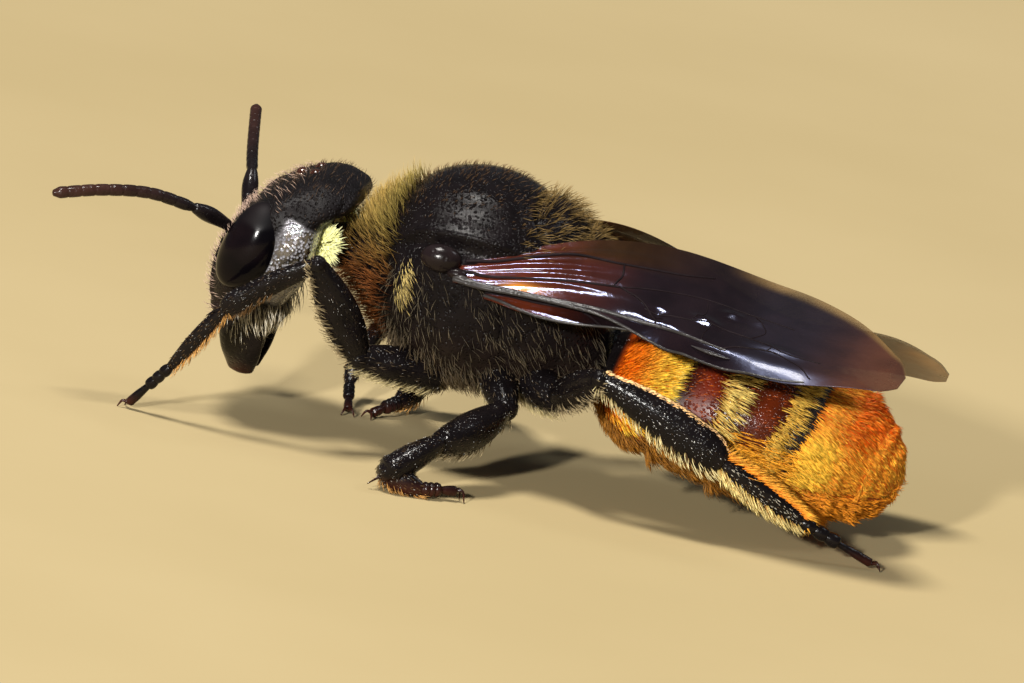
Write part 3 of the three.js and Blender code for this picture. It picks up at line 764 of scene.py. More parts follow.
STOUTNESS = {  # radii along each part
    "foreleg": {
        "coxa": [[0, 0.4], [0.6, 0.38], [1, 0.26]],
        "femur": [[0, 0.24], [0.2, 0.38], [0.5, 0.43], [0.85, 0.3], [1, 0.2]],
        "tibia": [[0, 0.17], [0.2, 0.22], [0.7, 0.26], [0.95, 0.25], [1, 0.19]],
        "tarsus": [0.15, 0.13, 0.1],
    },
    "midleg": {
        "coxa": [[0, 0.4], [0.6, 0.36], [1, 0.26]],
        "femur": [[0, 0.22], [0.25, 0.42], [0.5, 0.5], [0.85, 0.4], [1, 0.3]],
        "tibia": [[0, 0.28], [0.3, 0.4], [0.75, 0.46], [0.95, 0.41], [1, 0.3]],
        "tarsus": [0.22, 0.16, 0.11],
    },
    "hindleg": {
        "coxa": [[0, 0.44], [0.6, 0.42], [1, 0.3]],
        "femur": [[0, 0.24], [0.2, 0.34], [0.5, 0.38], [0.85, 0.3], [1, 0.22]],
        "tibia": [[0, 0.18], [0.25, 0.33], [0.72, 0.45], [0.93, 0.4], [1, 0.28]],
        "tarsus": [0.23, 0.16, 0.1],
    },
}
BOW = {("foreleg", "tibia"): 0.06, ("hindleg", "tibia"): 0.06, ("midleg", "femur"): -0.12}  # mm
FLATNESS = {"coxa": 1.0, "femur": 0.82, "tibia": 0.68, "tarsus": 0.7}
FLOOR_GAP = 0.004  # nothing comes closer to the floor than this
TOE_HEIGHT = 0.13  # of a foot's last joint above the ends of its claws


def claw(root, run, side, size):
    """A hook: out and forwards from the toe, then down to the floor."""
    middle = root + run * size * 0.45 + side * size * 0.3 + UP * size * 0.12
    knots = np.array([root, middle, root + run * size * 0.75 + side * size * 0.6])
    knots[2, 2] = 0.02
    return bar(path_through(knots, 14), np.linspace(0.045, 0.012, 14), 8)


def foot(ankle, heel, toe, radii):
    """The long first joint, three short bells, a slender last joint and two claws."""
    thick, middle, thin = radii
    toe = toe + np.array([0, 0, TOE_HEIGHT])
    radius = spline([[0, thick * 0.75], [0.15, thick], [0.8, thick], [1, thick * 0.7]],
                    np.linspace(0, 1, 24))[:, 0]
    first = path_through([ankle, (ankle + heel) / 2, heel], 24)
    joints = [bar(first, radius, 16, FLATNESS["tarsus"])]
    run = unit(toe - heel)
    length = np.linalg.norm(toe - heel)
    for start in (0.04, 0.2, 0.36):
        t = np.linspace(start, start + 0.15, 10)
        bell = middle * (0.62 + 0.38 * np.sin(np.linspace(0.25, 2.2, 10)))
        joints.append(bar(heel + run * (t * length)[:, None], bell, 14))
    t = np.linspace(0.5, 0.97, 14)
    last = thin * (0.7 + 0.3 * ease(0.5, 0.85, t))
    joints.append(bar(heel + run * (t * length)[:, None], last, 12))
    level = unit(run * [1, 1, 0])
    side = np.cross(UP, level)
    return joints + [claw(toe, level, s * side, 0.24) for s in (1, -1)]


def spur(ankle, run, side, size):
    """A thorn at the end of the shin, bent a little to one side."""
    middle = ankle + run * size * 0.5 + side * size * 0.25
    knots = [ankle, middle, ankle + run * size + side * size * 0.2]
    return bar(path_through(knots, 10), np.linspace(0.035, 0.01, 10), 8)


LEG_GRIDS = {}
for leg, places in LEGS.items():
    joints = np.array(places)
    kind = leg.split("_")[0]
    bend = unit(np.cross(joints[3] - joints[2], joints[1] - joints[2]))  # square to the bent leg
    broad = LEFT if kind == "hindleg" else bend
    for k, part in enumerate(("coxa", "femur", "tibia")):
        a, b = joints[k], joints[k + 1]
        share = np.linspace(0.0 if k == 0 else 0.03, 0.98, 60)
        bow = np.sin(np.pi * share)[:, None] * UP * BOW.get((kind, part), 0.0)
        radius = spline(STOUTNESS[kind][part], share)[:, 0]
        grids = [bar(a + (b - a) * share[:, None] + bow, radius, 36, FLATNESS[part], broad)]
        if part == "coxa":
            grids.append(ellipsoid(b, np.eye(3), [0.29, 0.27, 0.27], 20, 24))
        if part == "tibia":
            run = unit(b - a)
            grids += [spur(b, run, np.cross(run, broad) * s, 0.42) for s in (0.6, -0.3)]
            grids.append(ellipsoid(a, np.eye(3), [0.2] * 3, 16, 20))
        LEG_GRIDS[f"{leg}_{part}"] = grids
    LEG_GRIDS[f"{leg}_tarsus"] = foot(joints[3], joints[4], joints[5], STOUTNESS[kind]["tarsus"])


def leg_paint(points):
    """Black, and red-brown close to the floor, where the claws are."""
    return mix(srgb("2e140e"), BLACK, ease(0.08, 0.42, points[:, 2]))


for name, grids in LEG_GRIDS.items():
    for grid in grids:
        grid[..., 2] = np.maximum(grid[..., 2], FLOOR_GAP)
    finish = SMOOTH if "tarsus" in name else LEG_SHELL
    piece(f"{name}_shell", grids, finish, [name], leg_paint)
print("leg pieces:", len(LEG_GRIDS))

# %% [markdown]
# ## Wings
# A folded wing is a thin sheet that twists: steep where it is hinged, nearly level farther out.
# The sheet is pleated near its root, has low dents farther out, and bends down along its front
# edge. One function places a point by its share of the length and of the width, and both the sheet
# and the veins are drawn with it.

# %% Wing surface
WINGS = {  # by the sign of x. In degrees: the tilt at the root and farther out, the curl at the tip
    1: {"hinge": [2.38, -0.75, 4.34], "tip": [4.27, 8.88, 4.08],
        "steep": 44, "flat": 19, "curl": 0},
    -1: {"hinge": [-2.38, -0.75, 4.34], "tip": [-3.2, 9.42, 3.0],
         "steep": 58, "flat": 20, "curl": 11},
}
FOREWING = [  # share of the length, where the leading edge lies, width from there
    [0, -0.1, 0.62],
    [0.06, -0.06, 0.9],
    [0.12, 0.02, 1.25],
    [0.28, 0.14, 2.2],
    [0.45, 0.14, 2.95],
    [0.6, -0.1, 3.4],
    [0.74, -0.14, 3.25],
    [0.86, 0.02, 2.55],
    [0.94, 0.22, 1.7],
    [0.98, 0.38, 1.15],
    [1, 0.6, 0.5],
]
HINDWING = [
    [0, 0.0, 0.3],
    [0.2, -0.05, 1.0],
    [0.35, 0.09, 1.25],
    [0.45, 0.3, 1.25],
    [0.6, 0.5, 1.2],
    [0.8, 0.65, 0.95],
    [0.94, 0.8, 0.55],
    [1, 0.9, 0.2],
]
PLEATS = [[0.2, 0.09], [0.42, 0.02], [0.64, -0.05], [0.85, -0.05]]  # place at the root, move
DENTS = [  # share of the length and of the width, how far each spreads, and height in mm
    [0.44, 0.2, 0.022, 0.05, -0.1],
    [0.54, 0.31, 0.03, 0.035, 0.1],
    [0.585, 0.48, 0.022, 0.03, 0.08],
    [0.645, 0.5, 0.014, 0.03, 0.05],
    [0.72, 0.26, 0.06, 0.035, 0.07],
]
EDGE_DEPTH = 0.36  # mm from the front edge to the line where the sheet bends down
EDGE_BEND = 0.045  # how softly it bends there
EDGE_ROLL = 0.9  # how much steeper the sheet gets in a millimetre towards the edge
HIND_START, HIND_LENGTH = 0.07, 0.66  # of a hindwing, as shares of the forewing's length
HIND_BELOW, HIND_OUT = 0.26, 0.12  # how far it lies under the forewing, and out from it, in mm
THICK = 0.02  # mm, of a sheet
SHARES = 1 - (1 - np.linspace(0, 1, 150)) ** 1.3  # rows of a sheet
ACROSS = (1 - np.cos(np.pi * np.linspace(0, 1, 70))) / 2  # columns, closer together at both edges


def on_wing(hand, share, across, hind, off):
    """A place on a wing: out along the hinge line, inwards by the width there, and off the
    sheet."""
    wing = WINGS[hand]
    hinge, tip = np.array(wing["hinge"]), np.array(wing["tip"])
    length, run = np.linalg.norm(tip - hinge), unit(tip - hinge)
    along = HIND_START + HIND_LENGTH * share if hind else share
    lead, width = np.moveaxis(spline(HINDWING if hind else FOREWING, share), -1, 0)
    level = ease(0, 0.65, along)
    tilt = wing["steep"] + (wing["flat"] - wing["steep"]) * level
    tilt = np.radians(tilt + wing["curl"] * ease(0.65, 0.95, along))
    inward = np.stack([-hand * np.cos(tilt), 0 * tilt, np.sin(tilt)], -1)
    inward = unit(inward - (inward @ run)[..., None] * run)
    normal = np.cross(run, inward) * hand
    middle = ease(0.05, 0.25, along)
    wave = sum(bump(across, root + move * middle, 0.05) for root, move in PLEATS) * 0.05 - 0.02
    wave = wave * ease(0.5, 0.2, along) * ease(-0.02, 0.04, share)
    edge = across * width
    if hind:
        wave = wave * ease(0.3, 0.5, across)
        droop = -0.045 * (1 - across / 0.3).clip(0, 1) ** 2 * ease(0, 0.25, share)
    else:
        for s, t, long, wide, height in DENTS:
            wave = wave + height * bump(share, s, long) * bump(across, t, wide)
        slope = 0.42 + 0.26 * ease(0.7, 0.62, share) + 0.25 * ease(0.54, 0.48, share)
        droop = -slope * EDGE_BEND * np.log1p(np.exp((EDGE_DEPTH - edge) / EDGE_BEND))
        droop = droop - EDGE_ROLL / 2 * (EDGE_DEPTH - edge).clip(0, None) ** 2
        droop = droop * ease(0.3, 0.5, share) * ease(0.93, 0.74, share)
    place = hinge + (along * length)[..., None] * run
    place = place + inward * (lead - (HIND_OUT if hind else 0) + edge)[..., None]
    return place + normal * (wave + droop + off - (HIND_BELOW if hind else 0))[..., None]


def sheet(hand, hind):
    """The membrane as a closed skin: its upper face out to the edge and its lower face back."""
    s, t = np.meshgrid(SHARES, ACROSS, indexing="ij")
    top = on_wing(hand, s, t, hind, THICK / 2)
    under = on_wing(hand, s, t, hind, -THICK / 2)[:, ::-1]
    return np.concatenate([top, under[:, 1:-1]], 1)


# %% [markdown]
# ## Wing veins
# Veins are tapered tubes that lie in the membrane. In a bee's forewing a stout front vein leads to
# a dark spot, and behind it come a long closed cell, two cells under it, and slanting cross veins.

# %% Veins and membrane
FORE_VEINS = [  # radius at the start and the end, then places as (share of length, share of width)
    (0.06, 0.03, [(0.0, 0.1), (0.06, 0.02), (0.2, 0.0), (0.34, 0.0), (0.47, 0.005)]),
    (0.03, 0.02, [(0.47, 0.005), (0.62, 0.005), (0.74, 0.01), (0.81, 0.02)]),
    (0.085, 0.025, [(0.0, 0.2), (0.07, 0.06), (0.16, 0.02), (0.28, 0.04), (0.38, 0.07),
                    (0.49, 0.1), (0.62, 0.1)]),
    (0.02, 0.014, [(0.61, 0.1), (0.65, 0.18), (0.71, 0.22), (0.77, 0.17), (0.82, 0.05)]),
    (0.04, 0.024, [(0.01, 0.45), (0.08, 0.33), (0.2, 0.33), (0.34, 0.38)]),
    (0.024, 0.02, [(0.34, 0.38), (0.39, 0.29), (0.43, 0.18), (0.455, 0.08)]),
    (0.016, 0.01, [(0.41, 0.21), (0.47, 0.23), (0.55, 0.29), (0.65, 0.3), (0.74, 0.24),
                   (0.82, 0.26)]),
    (0.014, 0.012, [(0.56, 0.1), (0.555, 0.2), (0.56, 0.29)]),
    (0.014, 0.012, [(0.7, 0.22), (0.705, 0.25), (0.7, 0.27)]),
    (0.016, 0.01, [(0.34, 0.38), (0.44, 0.48), (0.53, 0.55), (0.62, 0.56), (0.72, 0.56)]),
    (0.013, 0.011, [(0.51, 0.26), (0.53, 0.38), (0.52, 0.52)]),
    (0.013, 0.011, [(0.65, 0.3), (0.67, 0.42), (0.63, 0.55)]),
    (0.04, 0.02, [(0.01, 0.85), (0.08, 0.78), (0.2, 0.77), (0.32, 0.68), (0.42, 0.7), (0.5, 0.8)]),
    (0.022, 0.02, [(0.325, 0.38), (0.33, 0.52), (0.32, 0.68)]),
]
HIND_VEINS = [
    (0.04, 0.02, [(0.0, 0.2), (0.15, 0.03), (0.4, 0.02), (0.7, 0.02), (0.86, 0.04)]),
    (0.04, 0.02, [(0.0, 0.5), (0.2, 0.36), (0.45, 0.4), (0.62, 0.5)]),
    (0.026, 0.022, [(0.3, 0.37), (0.36, 0.2), (0.4, 0.04)]),
]


def vein(hand, hind, start, end, knots, count=60):
    """A tube through the places of one row of a table, just proud of the sheet."""
    s, t = path_through([(*k, 0) for k in knots], count)[:, :2].T
    radius = np.linspace(start, end, count)
    return bar(on_wing(hand, s.clip(0, 1), t.clip(0, 1), hind, 0.012), radius, 10)


def membrane_material():
    """Smoky glass: dark brown, clearer at the margin, with a blue cast in its gloss, which softens
    towards the tip."""
    made, tree, shader = material(
        "smoky_membrane", 0.13, IOR=1.42, Coat_Weight=0.3, Coat_Roughness=0.12, Coat_IOR=1.3,
        Specular_Tint=(*srgb("bccaff"), 1),
    )
    tinted(tree, shader, 0.3, 900)
    tree.links.new(tint_of(tree, "Alpha"), shader.inputs["Alpha"])
    dent(tree, shader, noise(tree, 1600, 4), 0.03)
    _, length = height_and_length(tree)
    rough = span(tree, length, 4.9 * MM, 6.0 * MM, 0.13, 0.37)
    tree.links.new(rough, shader.inputs["Roughness"])
    return made


MEMBRANE = membrane_material()


def wing(hand, name, hind):
    """The membrane, with its tint and clearness by the share of length, and its veins."""
    points, faces = solid(sheet(hand, hind))
    around = np.concatenate([ACROSS, ACROSS[-2:0:-1]])  # over the upper face, back under the lower
    share, across = (v.ravel() for v in np.meshgrid(SHARES, around, indexing="ij"))
    share, across = np.append(share, [0, 1]), np.append(across, [0.5, 0.5])  # the two end points
    hem = ease(0.88, 1.0, across) * ease(0.5, 0.65, share)
    # painted_glow is a painted pool of light: an orange patch near the root that stands for light
    # shining through the membrane.
    painted_glow = bump(share, 0.15, 0.04) * bump(across, 0.13, 0.07) * (not hind)
    tint = mix(srgb("461c0e"), srgb("120b0d"), ease(0.1, 0.4, share))
    tint = mix(tint, srgb("241608"), bump(share, 0.3, 0.12) * ease(0.6, 0.8, across))
    tint = mix(tint, srgb("b8741c"), painted_glow)
    # Both tips turn brown; the right tip is painted a paler gold than the left, as painted light
    # shining through it.
    tint = mix(tint, srgb("3e2212" if hand > 0 else "8a6026"), ease(0.75, 1.0, share))
    tint = mix(tint, srgb("5c4626"), hem)
    clear = 0.93 - (0.13 if hand > 0 else 0.28) * ease(0.8, 1.0, share)
    clear = clear - (clear - 0.6) * hem
    tint = np.column_stack([tint, clear])
    make(f"{name}_membrane", points, faces, MEMBRANE, [name], tint)
    grids = [vein(hand, hind, *row) for row in (HIND_VEINS if hind else FORE_VEINS)]
    front, rest = (grids[:1], grids[1:]) if hind else (grids[:3], grids[3:])
    if not hind:
        s = np.linspace(0.545, 0.635, 20)
        spot = 0.02 + 0.07 * np.sin(np.linspace(0, np.pi, 20))  # the dark spot's radius
        front.append(bar(on_wing(hand, s, 0.055 + 0 * s, False, 0.03), spot, 12, 0.4, UP))
    piece(f"{name}_front_veins", front, SMOOTH, paint=lambda p: srgb("2c2a2a"))
    piece(f"{name}_veins", rest, VEIN_SHELL, paint=lambda p: srgb("150f11"))


for side, hand in SIDES.items():
    wing(hand, f"forewing_{side}", False)
    wing(hand, f"hindwing_{side}", True)
print("veins in a forewing:", len(FORE_VEINS))

# %% [markdown]
# ## How hair is made
# A hair is a three-sided spike with a bend in it. Roots are drawn at random over a plate, more
# where the coat is thick, and each hair leans from the plate's normal towards the lie of the coat.
# Its patch on the map "OFBake" is 0.003 wide and lies where its root is on the plate's own unwrap.

# %% Hair tools
LONG = (0, 0.35, 0.7)  # shares of a long hair's length where it has its rings
PATCH = 0.0015  # half the width of a hair's patch on the map
SINK = 0.02  # mm that a root lies under the skin


def scatter(P, count, weight=None, tile=(0, 1)):
    """Random roots on a closed grid, as often as a cell's area times weight(middle, angle). Returns
    root, outward normal, direction along the grid's rows, and the place on tile number k of n."""
    far = np.roll(P, -1, 1)
    middle = (P[:-1] + P[1:] + far[:-1] + far[1:]) / 4
    area = np.linalg.norm(np.cross(P[1:] - P[:-1], far[:-1] - P[:-1]), axis=-1)
    chance = area if weight is None else area * np.clip(weight(middle, body_angle(middle)), 0, None)
    cell = rng.choice(chance.size, count, p=chance.ravel() / chance.sum())
    i, j = np.divmod(cell, P.shape[1])
    k = (j + 1) % P.shape[1]
    u, v = rng.random((2, count, 1))

    def at(grid):
        """Between the four corners of each root's cell."""
        return (grid[i, j] * (1 - u) + grid[i + 1, j] * u) * (1 - v) + (
            grid[i, k] * (1 - u) + grid[i + 1, k] * u
        ) * v

    index, total = tile
    side = int(np.ceil(np.sqrt(total)))
    spot = np.column_stack([(j + v[:, 0]) / P.shape[1], (i + u[:, 0]) / (len(P) - 1)])
    spot = (spot * 0.96 + 0.02 + [index % side, index // side]) / side  # a margin round each tile
    return at(P), unit(at(normals(P))), unit(at(np.gradient(P, axis=0))), spot


def hairs(roots, lie, length, lift, width, colours, curl=0.6, wild=0.15, rings_up=(0, 0.5)):
    """Spikes of length mm. A hair starts at lift degrees from the skin, on the side that lie
    points to, strays by wild, and bends towards the lie:
    p(s) = root + length (s d + curl s^2 (lie - d) / 2), where d is its direction at the root.
    colours is a pair, for root and tip, or a function of the root places that gives one."""
    root, out, _, spot = roots
    n = len(root)
    lie = np.broadcast_to(lie, root.shape)
    flow = unit(lie - (lie * out).sum(1, keepdims=True) * out + 1e-6)
    lift = np.radians(np.broadcast_to(lift, n))[:, None] * rng.normal(1, 0.12, (n, 1))
    d = unit(np.cos(lift) * flow + np.sin(lift) * out + rng.normal(0, wild, (n, 3)))
    length = (np.broadcast_to(length, n) * rng.uniform(0.75, 1.15, n))[:, None]
    base, tip = colours(root) if callable(colours) else colours
    light = rng.uniform(0.7, 1.25, (n, 1))
    base, tip = np.broadcast_to(base, (n, 3)) * light, np.broadcast_to(tip, (n, 3)) * light
    e = unit(np.cross(d, rng.normal(0, 1, (n, 3))))
    f = np.cross(d, e)
    points, tints, spots = [], [], []
    for s in (*rings_up, 1.0):
        centre = root - SINK * out + length * (s * d + curl * s * s / 2 * (flow - d))
        shade = base + (tip - base) * s**0.8
        radius = np.broadcast_to(width, n)[:, None] / 2 * (1 - s) ** 0.5
        for a in (0, 2 * np.pi / 3, 4 * np.pi / 3) if s < 1 else (0,):
            points.append(centre + radius * (np.cos(a) * e + np.sin(a) * f))
            tints.append(shade)
            corner = np.array([np.cos(a) * (1.2 - s), 1.6 * s - 0.8 + 0.3 * np.sin(a)])
            spots.append(spot + PATCH * corner)
    points = np.stack(points, 1)
    points[..., 2] = np.maximum(points[..., 2], FLOOR_GAP)
    faces = [(0, 2, 1)]
    r = len(rings_up)
    for q in range(r - 1):
        for k in range(3):
            a, b = 3 * q + k, 3 * q + (k + 1) % 3
            faces += [(a, b, b + 3), (a, b + 3, a + 3)]
    faces += [(3 * r - 3 + k, 3 * r - 3 + (k + 1) % 3, 3 * r) for k in range(3)]
    faces = np.array(faces)[None] + (np.arange(n) * (3 * r + 1))[:, None, None]
    flat = (-1, 3)
    return (points.reshape(flat), faces.reshape(flat), np.stack(tints, 1).reshape(flat),
            np.stack(spots, 1).reshape(-1, 2))


def coat(name, slot, *batches):
    """One mesh object from batches of hairs."""
    starts = np.cumsum([0] + [len(b[0]) for b in batches])
    faces = np.concatenate([b[1] + n for b, n in zip(batches, starts)])
    points, tints, spots = (np.concatenate([b[k] for b in batches]) for k in (0, 2, 3))
    make(name, points, faces, HAIR, tint=tints, unwrap=spots)
    print(name, len(faces), "triangles")


def pair(root, tip):
    """The colours of a hair's root and tip."""
    return srgb(root), srgb(tip)


FRONT, BACK, DOWN = np.array([0, -1.0, 0]), np.array([0, 1.0, 0]), np.array([0, 0, -1.0])

# %% [markdown]
# ## Hair of the head
# Short upright hair covers the crown and face, and a beard of long pale bristles hangs behind the
# jaws. The eyes are bare, so no root lies under them.

# %% Head coat
def off_the_eyes(p):
    """1 outside a ball a little larger than each eye, and 0 in it."""
    side, height, depth = head_places(p)
    ball = ((np.abs(side) - 1.68) / 0.75) ** 2 + ((height - EYE_HEIGHT) / 1.15) ** 2
    ball = ball + ((depth - 0.6) / 0.66) ** 2
    return ball > 1


def face_weight(p, _):
    _, height, depth = head_places(p)
    middle = 0.4 + 0.6 * ease(1.2, 0.2, np.abs(height + 0.2))
    return off_the_eyes(p) * ease(0.15, 0.6, depth) * middle


def crown_weight(p, _):
    _, height, depth = head_places(p)
    return off_the_eyes(p) * ease(0.7, 1.4, height) * (1 - 0.6 * ease(-0.1, -0.5, depth))


def cheek_weight(p, _):
    side, height, depth = head_places(p)
    rear = off_the_eyes(p) * ease(0.4, 0.1, depth)
    return rear * ease(0.8, 1.3, np.abs(side)) * ease(1.4, 0.9, height)


def beard_weight(p, _):
    _, height, depth = head_places(p)
    return ease(-0.7, -1.3, height) * ease(0.5, 0.0, depth)


coat(
    "coat_head", "head",
    hairs(scatter(HEAD_GRID, 520, face_weight, (0, 4)), CROWN * 0.3 + FACE, 0.27, 70, 0.015,
          pair("2a1f1a", "c9ab98"), wild=0.24),
    hairs(scatter(HEAD_GRID, 380, crown_weight, (1, 4)), CROWN, 0.21, 75, 0.011,
          pair("15100b", "644c38"), wild=0.24),
    hairs(scatter(HEAD_GRID, 160, cheek_weight, (2, 4)), -FACE - 0.4 * CROWN, 0.12, 40, 0.014,
          pair("1c1612", "8a7660")),
    hairs(scatter(HEAD_GRID, 620, beard_weight, (3, 4)), -1.3 * CROWN - 0.9 * FACE, 0.62, 55, 0.02,
          pair("4a4034", "efe8d4"), curl=0.7, wild=0.22, rings_up=LONG),
)

# %% [markdown]
# ## Hair of the thorax
# A collar of long golden hair fills the neck, the middle of the back is nearly bare so that its
# pits show, and the hump behind it is shaggy. The sides are grey-brown, and the breast has a long
# fringe.

# %% Thorax coat
def collar_weight(p, _):
    y = p[..., 1]
    return ease(-3.6, -3.1, y) * ease(-1.95, -2.35, y)


def ruff_weight(p, angle):
    return bump(p[..., 1], -2.75, 0.25) * ease(20, 50, angle)


def shoulder_weight(p, angle):
    return bump(p[..., 1], -1.85, 0.1) * bump(angle, -6, 9)


def back_weight(p, angle):
    y = p[..., 1]
    return ease(-2.5, -1.9, y) * ease(0.6, 0.2, y) * ease(30, 55, angle)


def collar_colours(p):
    """Red-brown low on the collar and golden on the back."""
    back = ease(3.6, 5.0, p[:, 2])
    return mix(srgb("20110a"), srgb("241a0d"), back), mix(srgb("80491f"), srgb("938040"), back)


def hump_weight(p, angle):
    y = p[..., 1]
    return (ease(0.45, 0.75, y) + 0.8 * bump(y, 0.5, 0.1)) * ease(2.3, 1.9, y) * ease(15, 40, angle)


def side_weight(p, angle):
    y = p[..., 1]
    bare = bump(y, -0.7, 0.55) * bump(angle, -8, 14)
    return ease(16, 4, angle) * ease(-80, -50, angle) * ease(-2.4, -2.0, y) * (1 - 0.8 * bare)


def breast_weight(p, angle):
    return ease(-30, -65, angle) * ease(-2.5, -2.0, p[..., 1])


coat(
    "coat_collar", "thorax",
    hairs(scatter(THORAX_GRID, 2600, collar_weight, (0, 4)), 0.6 * FRONT + UP, 0.52, 72, 0.014,
          collar_colours, curl=0.3, wild=0.24, rings_up=LONG),
    hairs(scatter(THORAX_GRID, 520, ruff_weight, (3, 4)), 0.8 * FRONT + UP, 0.8, 76, 0.014,
          pair("2b2010", "a98c48"), wild=0.2, rings_up=LONG),
    hairs(scatter(THORAX_GRID, 300, shoulder_weight, (1, 4)), BACK + DOWN, 0.24, 40, 0.018,
          pair("6d5c30", "d8c27c")),
    hairs(scatter(THORAX_GRID, 520, back_weight, (2, 4)), BACK + 0.2 * UP, 0.2, 75, 0.014,
          pair("120d08", "6b4e30"), wild=0.25),
)
coat(
    "coat_hump", "thorax",
    hairs(scatter(THORAX_GRID, 900, hump_weight), BACK, 0.4, 66, 0.015,
          pair("1a120a", "866c3c"), curl=0.3, wild=0.26, rings_up=LONG),
)
coat(
    "coat_sides", "thorax",
    hairs(scatter(THORAX_GRID, 1400, side_weight), BACK * 0.6 + DOWN, 0.36, 40, 0.012,
          pair("15110d", "766a54"), wild=0.34, rings_up=LONG),
)
coat(
    "coat_breast", "thorax",
    hairs(scatter(THORAX_GRID, 2400, breast_weight), BACK * 0.5 + DOWN, 0.42, 60, 0.018,
          pair("1a130d", "655640"), curl=0.5, wild=0.22, rings_up=LONG),
)

# %% [markdown]
# ## Tufts of the neck
# Behind each cheek stands a compact tuft of pale yellow hair, the brightest spot of the front half.

# %% Neck tufts
TUFT_HAIRS = 1100
tufts = []
for k, hand in enumerate(SIDES.values()):
    turn, far = rng.uniform(0, 2 * np.pi, TUFT_HAIRS), np.sqrt(rng.random(TUFT_HAIRS))
    at = np.column_stack([0.22 * far * np.cos(turn), 0.32 * far * np.sin(turn)])
    root = np.column_stack([hand * (1.1 + 0 * at[:, 0]), -3.75 + at[:, 0], 4.2 + at[:, 1]])
    out = unit(np.column_stack([hand + 0 * at[:, 0], -0.3 + at[:, 0], 0.1 + 0.6 * at[:, 1]]))
    spot = (at / [1.2, 2.0] + 0.5).clip(0.01, 0.99) * 0.5 + [0, 0.5 * k]
    fan = 4 * np.column_stack([0 * far, at]) + BACK + 0.3 * UP
    tufts.append(hairs((root, out, out, spot), fan, 0.46, 66, 0.03, pair("f4f29c", "ffffc8"),
                       curl=0.4, wild=0.12))
coat("coat_neck", "thorax", *tufts)

# %% [markdown]
# ## Hair of the abdomen
# The first ring and the last three are furred in orange, the second and third are bare and glossy
# in front with a golden fringe along the rim, and long bristles under the belly carry the pollen.

# %% Abdomen coat
def fringe(k, count, reach, tile):
    """Roots in a band before the rim of ring k, for hair that reaches back over the next ring."""
    def band(p, angle):
        low = 0.15 * flank(p) if k == 3 else 0
        return ease(-32, -18, angle) * bump(ring_place(p), RIMS[k] - reach / 2 - low, reach / 3)

    return scatter(ABDOMEN_GRIDS[k - 1], count, band, tile)


def fur_colours(p):
    """Deep orange on the back, brighter low on the flanks and yellow on the fourth ring's front."""
    low = 0.5 * flank(p) + 0.5 * flank(p) * ease(8.0, 7.3, ring_place(p))
    low = (low + 0.42 * ease(7.9, 7.3, ring_place(p)) + rng.normal(0, 0.22, len(p))).clip(0, 1)
    return mix(srgb("983000"), srgb("d88410"), low), mix(srgb("da5a02"), srgb("fcd850"), low)


def first_colours(p):
    """Orange, and yellow towards the rim."""
    rear = ease(2.9, 3.7, ring_place(p) + 0.3 * flank(p))
    return mix(srgb("b84404"), srgb("d88e10"), rear), mix(srgb("f88410"), srgb("ffdc50"), rear)


def belly_colours(p):
    """Golden bristles, turning orange under the tail."""
    rear = ease(5.5, 7.5, p[:, 1])
    return mix(srgb("3c1e0a"), srgb("ac560a"), rear), mix(srgb("a46e26"), srgb("ec9a2a"), rear)


def above(p, angle):
    """A weight for scatter: everywhere but the belly."""
    return ease(-30, -15, angle)


def first_weight(p, angle):
    return above(p, angle) * ease(2.65, 2.85, ring_place(p))


def tail_weight(k):
    """A weight for ring k: from the dark line on, and from the rim before it on."""
    def weight(p, angle):
        place = ring_place(p)
        tail = above(p, angle) * ease(7.0, 7.16, place + 0.12 * flank(p))
        return tail * ease(RIMS[k - 1] - 0.06, RIMS[k - 1] + 0.04, place)

    return weight


GOLD = pair("cc860e", "ffe878")
DULL_GOLD = pair("a06a14", "e8c45a")
coat(
    "coat_first_ring", "abdomen_amber",
    hairs(scatter(ABDOMEN_GRIDS[0], 6500, first_weight, (0, 2)), BACK, 0.4, 22, 0.024,
          first_colours),
    hairs(fringe(1, 1800, 0.35, (1, 2)), BACK + 0.2 * DOWN, 0.36, 12, 0.026, GOLD),
)
PALE_GOLD = pair("9c640c", "f2dc80")
coat(
    "coat_dark_rings", "abdomen_dark",
    hairs(scatter(ABDOMEN_GRIDS[1], 1100, above, (0, 4)), BACK, 0.18, 18, 0.018,
          pair("6a1f06", "e0701c")),
    hairs(fringe(2, 1700, 0.6, (1, 4)), BACK + 0.5 * DOWN, 0.54, 16, 0.03, PALE_GOLD, wild=0.2),
    hairs(scatter(ABDOMEN_GRIDS[2], 900, above, (2, 4)), BACK, 0.18, 18, 0.018,
          pair("5a1806", "c8601c")),
    hairs(fringe(3, 2300, 0.5, (3, 4)), BACK + 0.5 * DOWN, 0.36, 16, 0.024, DULL_GOLD, wild=0.2),
    *(hairs(scatter(ABDOMEN_GRIDS[k], 900, lambda p, angle: bump(angle, -13, 9), (3, 4)),
            BACK + 0.1 * DOWN, 0.5, 18, 0.026, pair("a05608", "f8b030"), wild=0.16, rings_up=LONG)
      for k in (1, 2)),
)
TAIL = [(4, 9000, 0.42, 13), (5, 7500, 0.36, 9), (6, 5500, 0.28, 6)]  # ring, count, length, lift
for k, count, reach, lift in TAIL:
    roots = scatter(ABDOMEN_GRIDS[k - 1], count, tail_weight(k))
    rim = ease(RIMS[k] - 0.35, RIMS[k], ring_place(roots[0])) * (k < 6)
    part = 1 - 0.3 * rim  # the hair lies lower and is shorter near the rim
    fur = hairs(roots, BACK + 0.6 * DOWN, reach * part, lift * part, 0.022, fur_colours,
                wild=0.17, rings_up=LONG)
    coat(f"coat_ring_{k}", "abdomen_amber", fur)
BELLY = [(1900, 0.36), (2300, 0.55), (2200, 0.6), (1900, 0.5), (1300, 0.36), (900, 0.26)]
belly = []
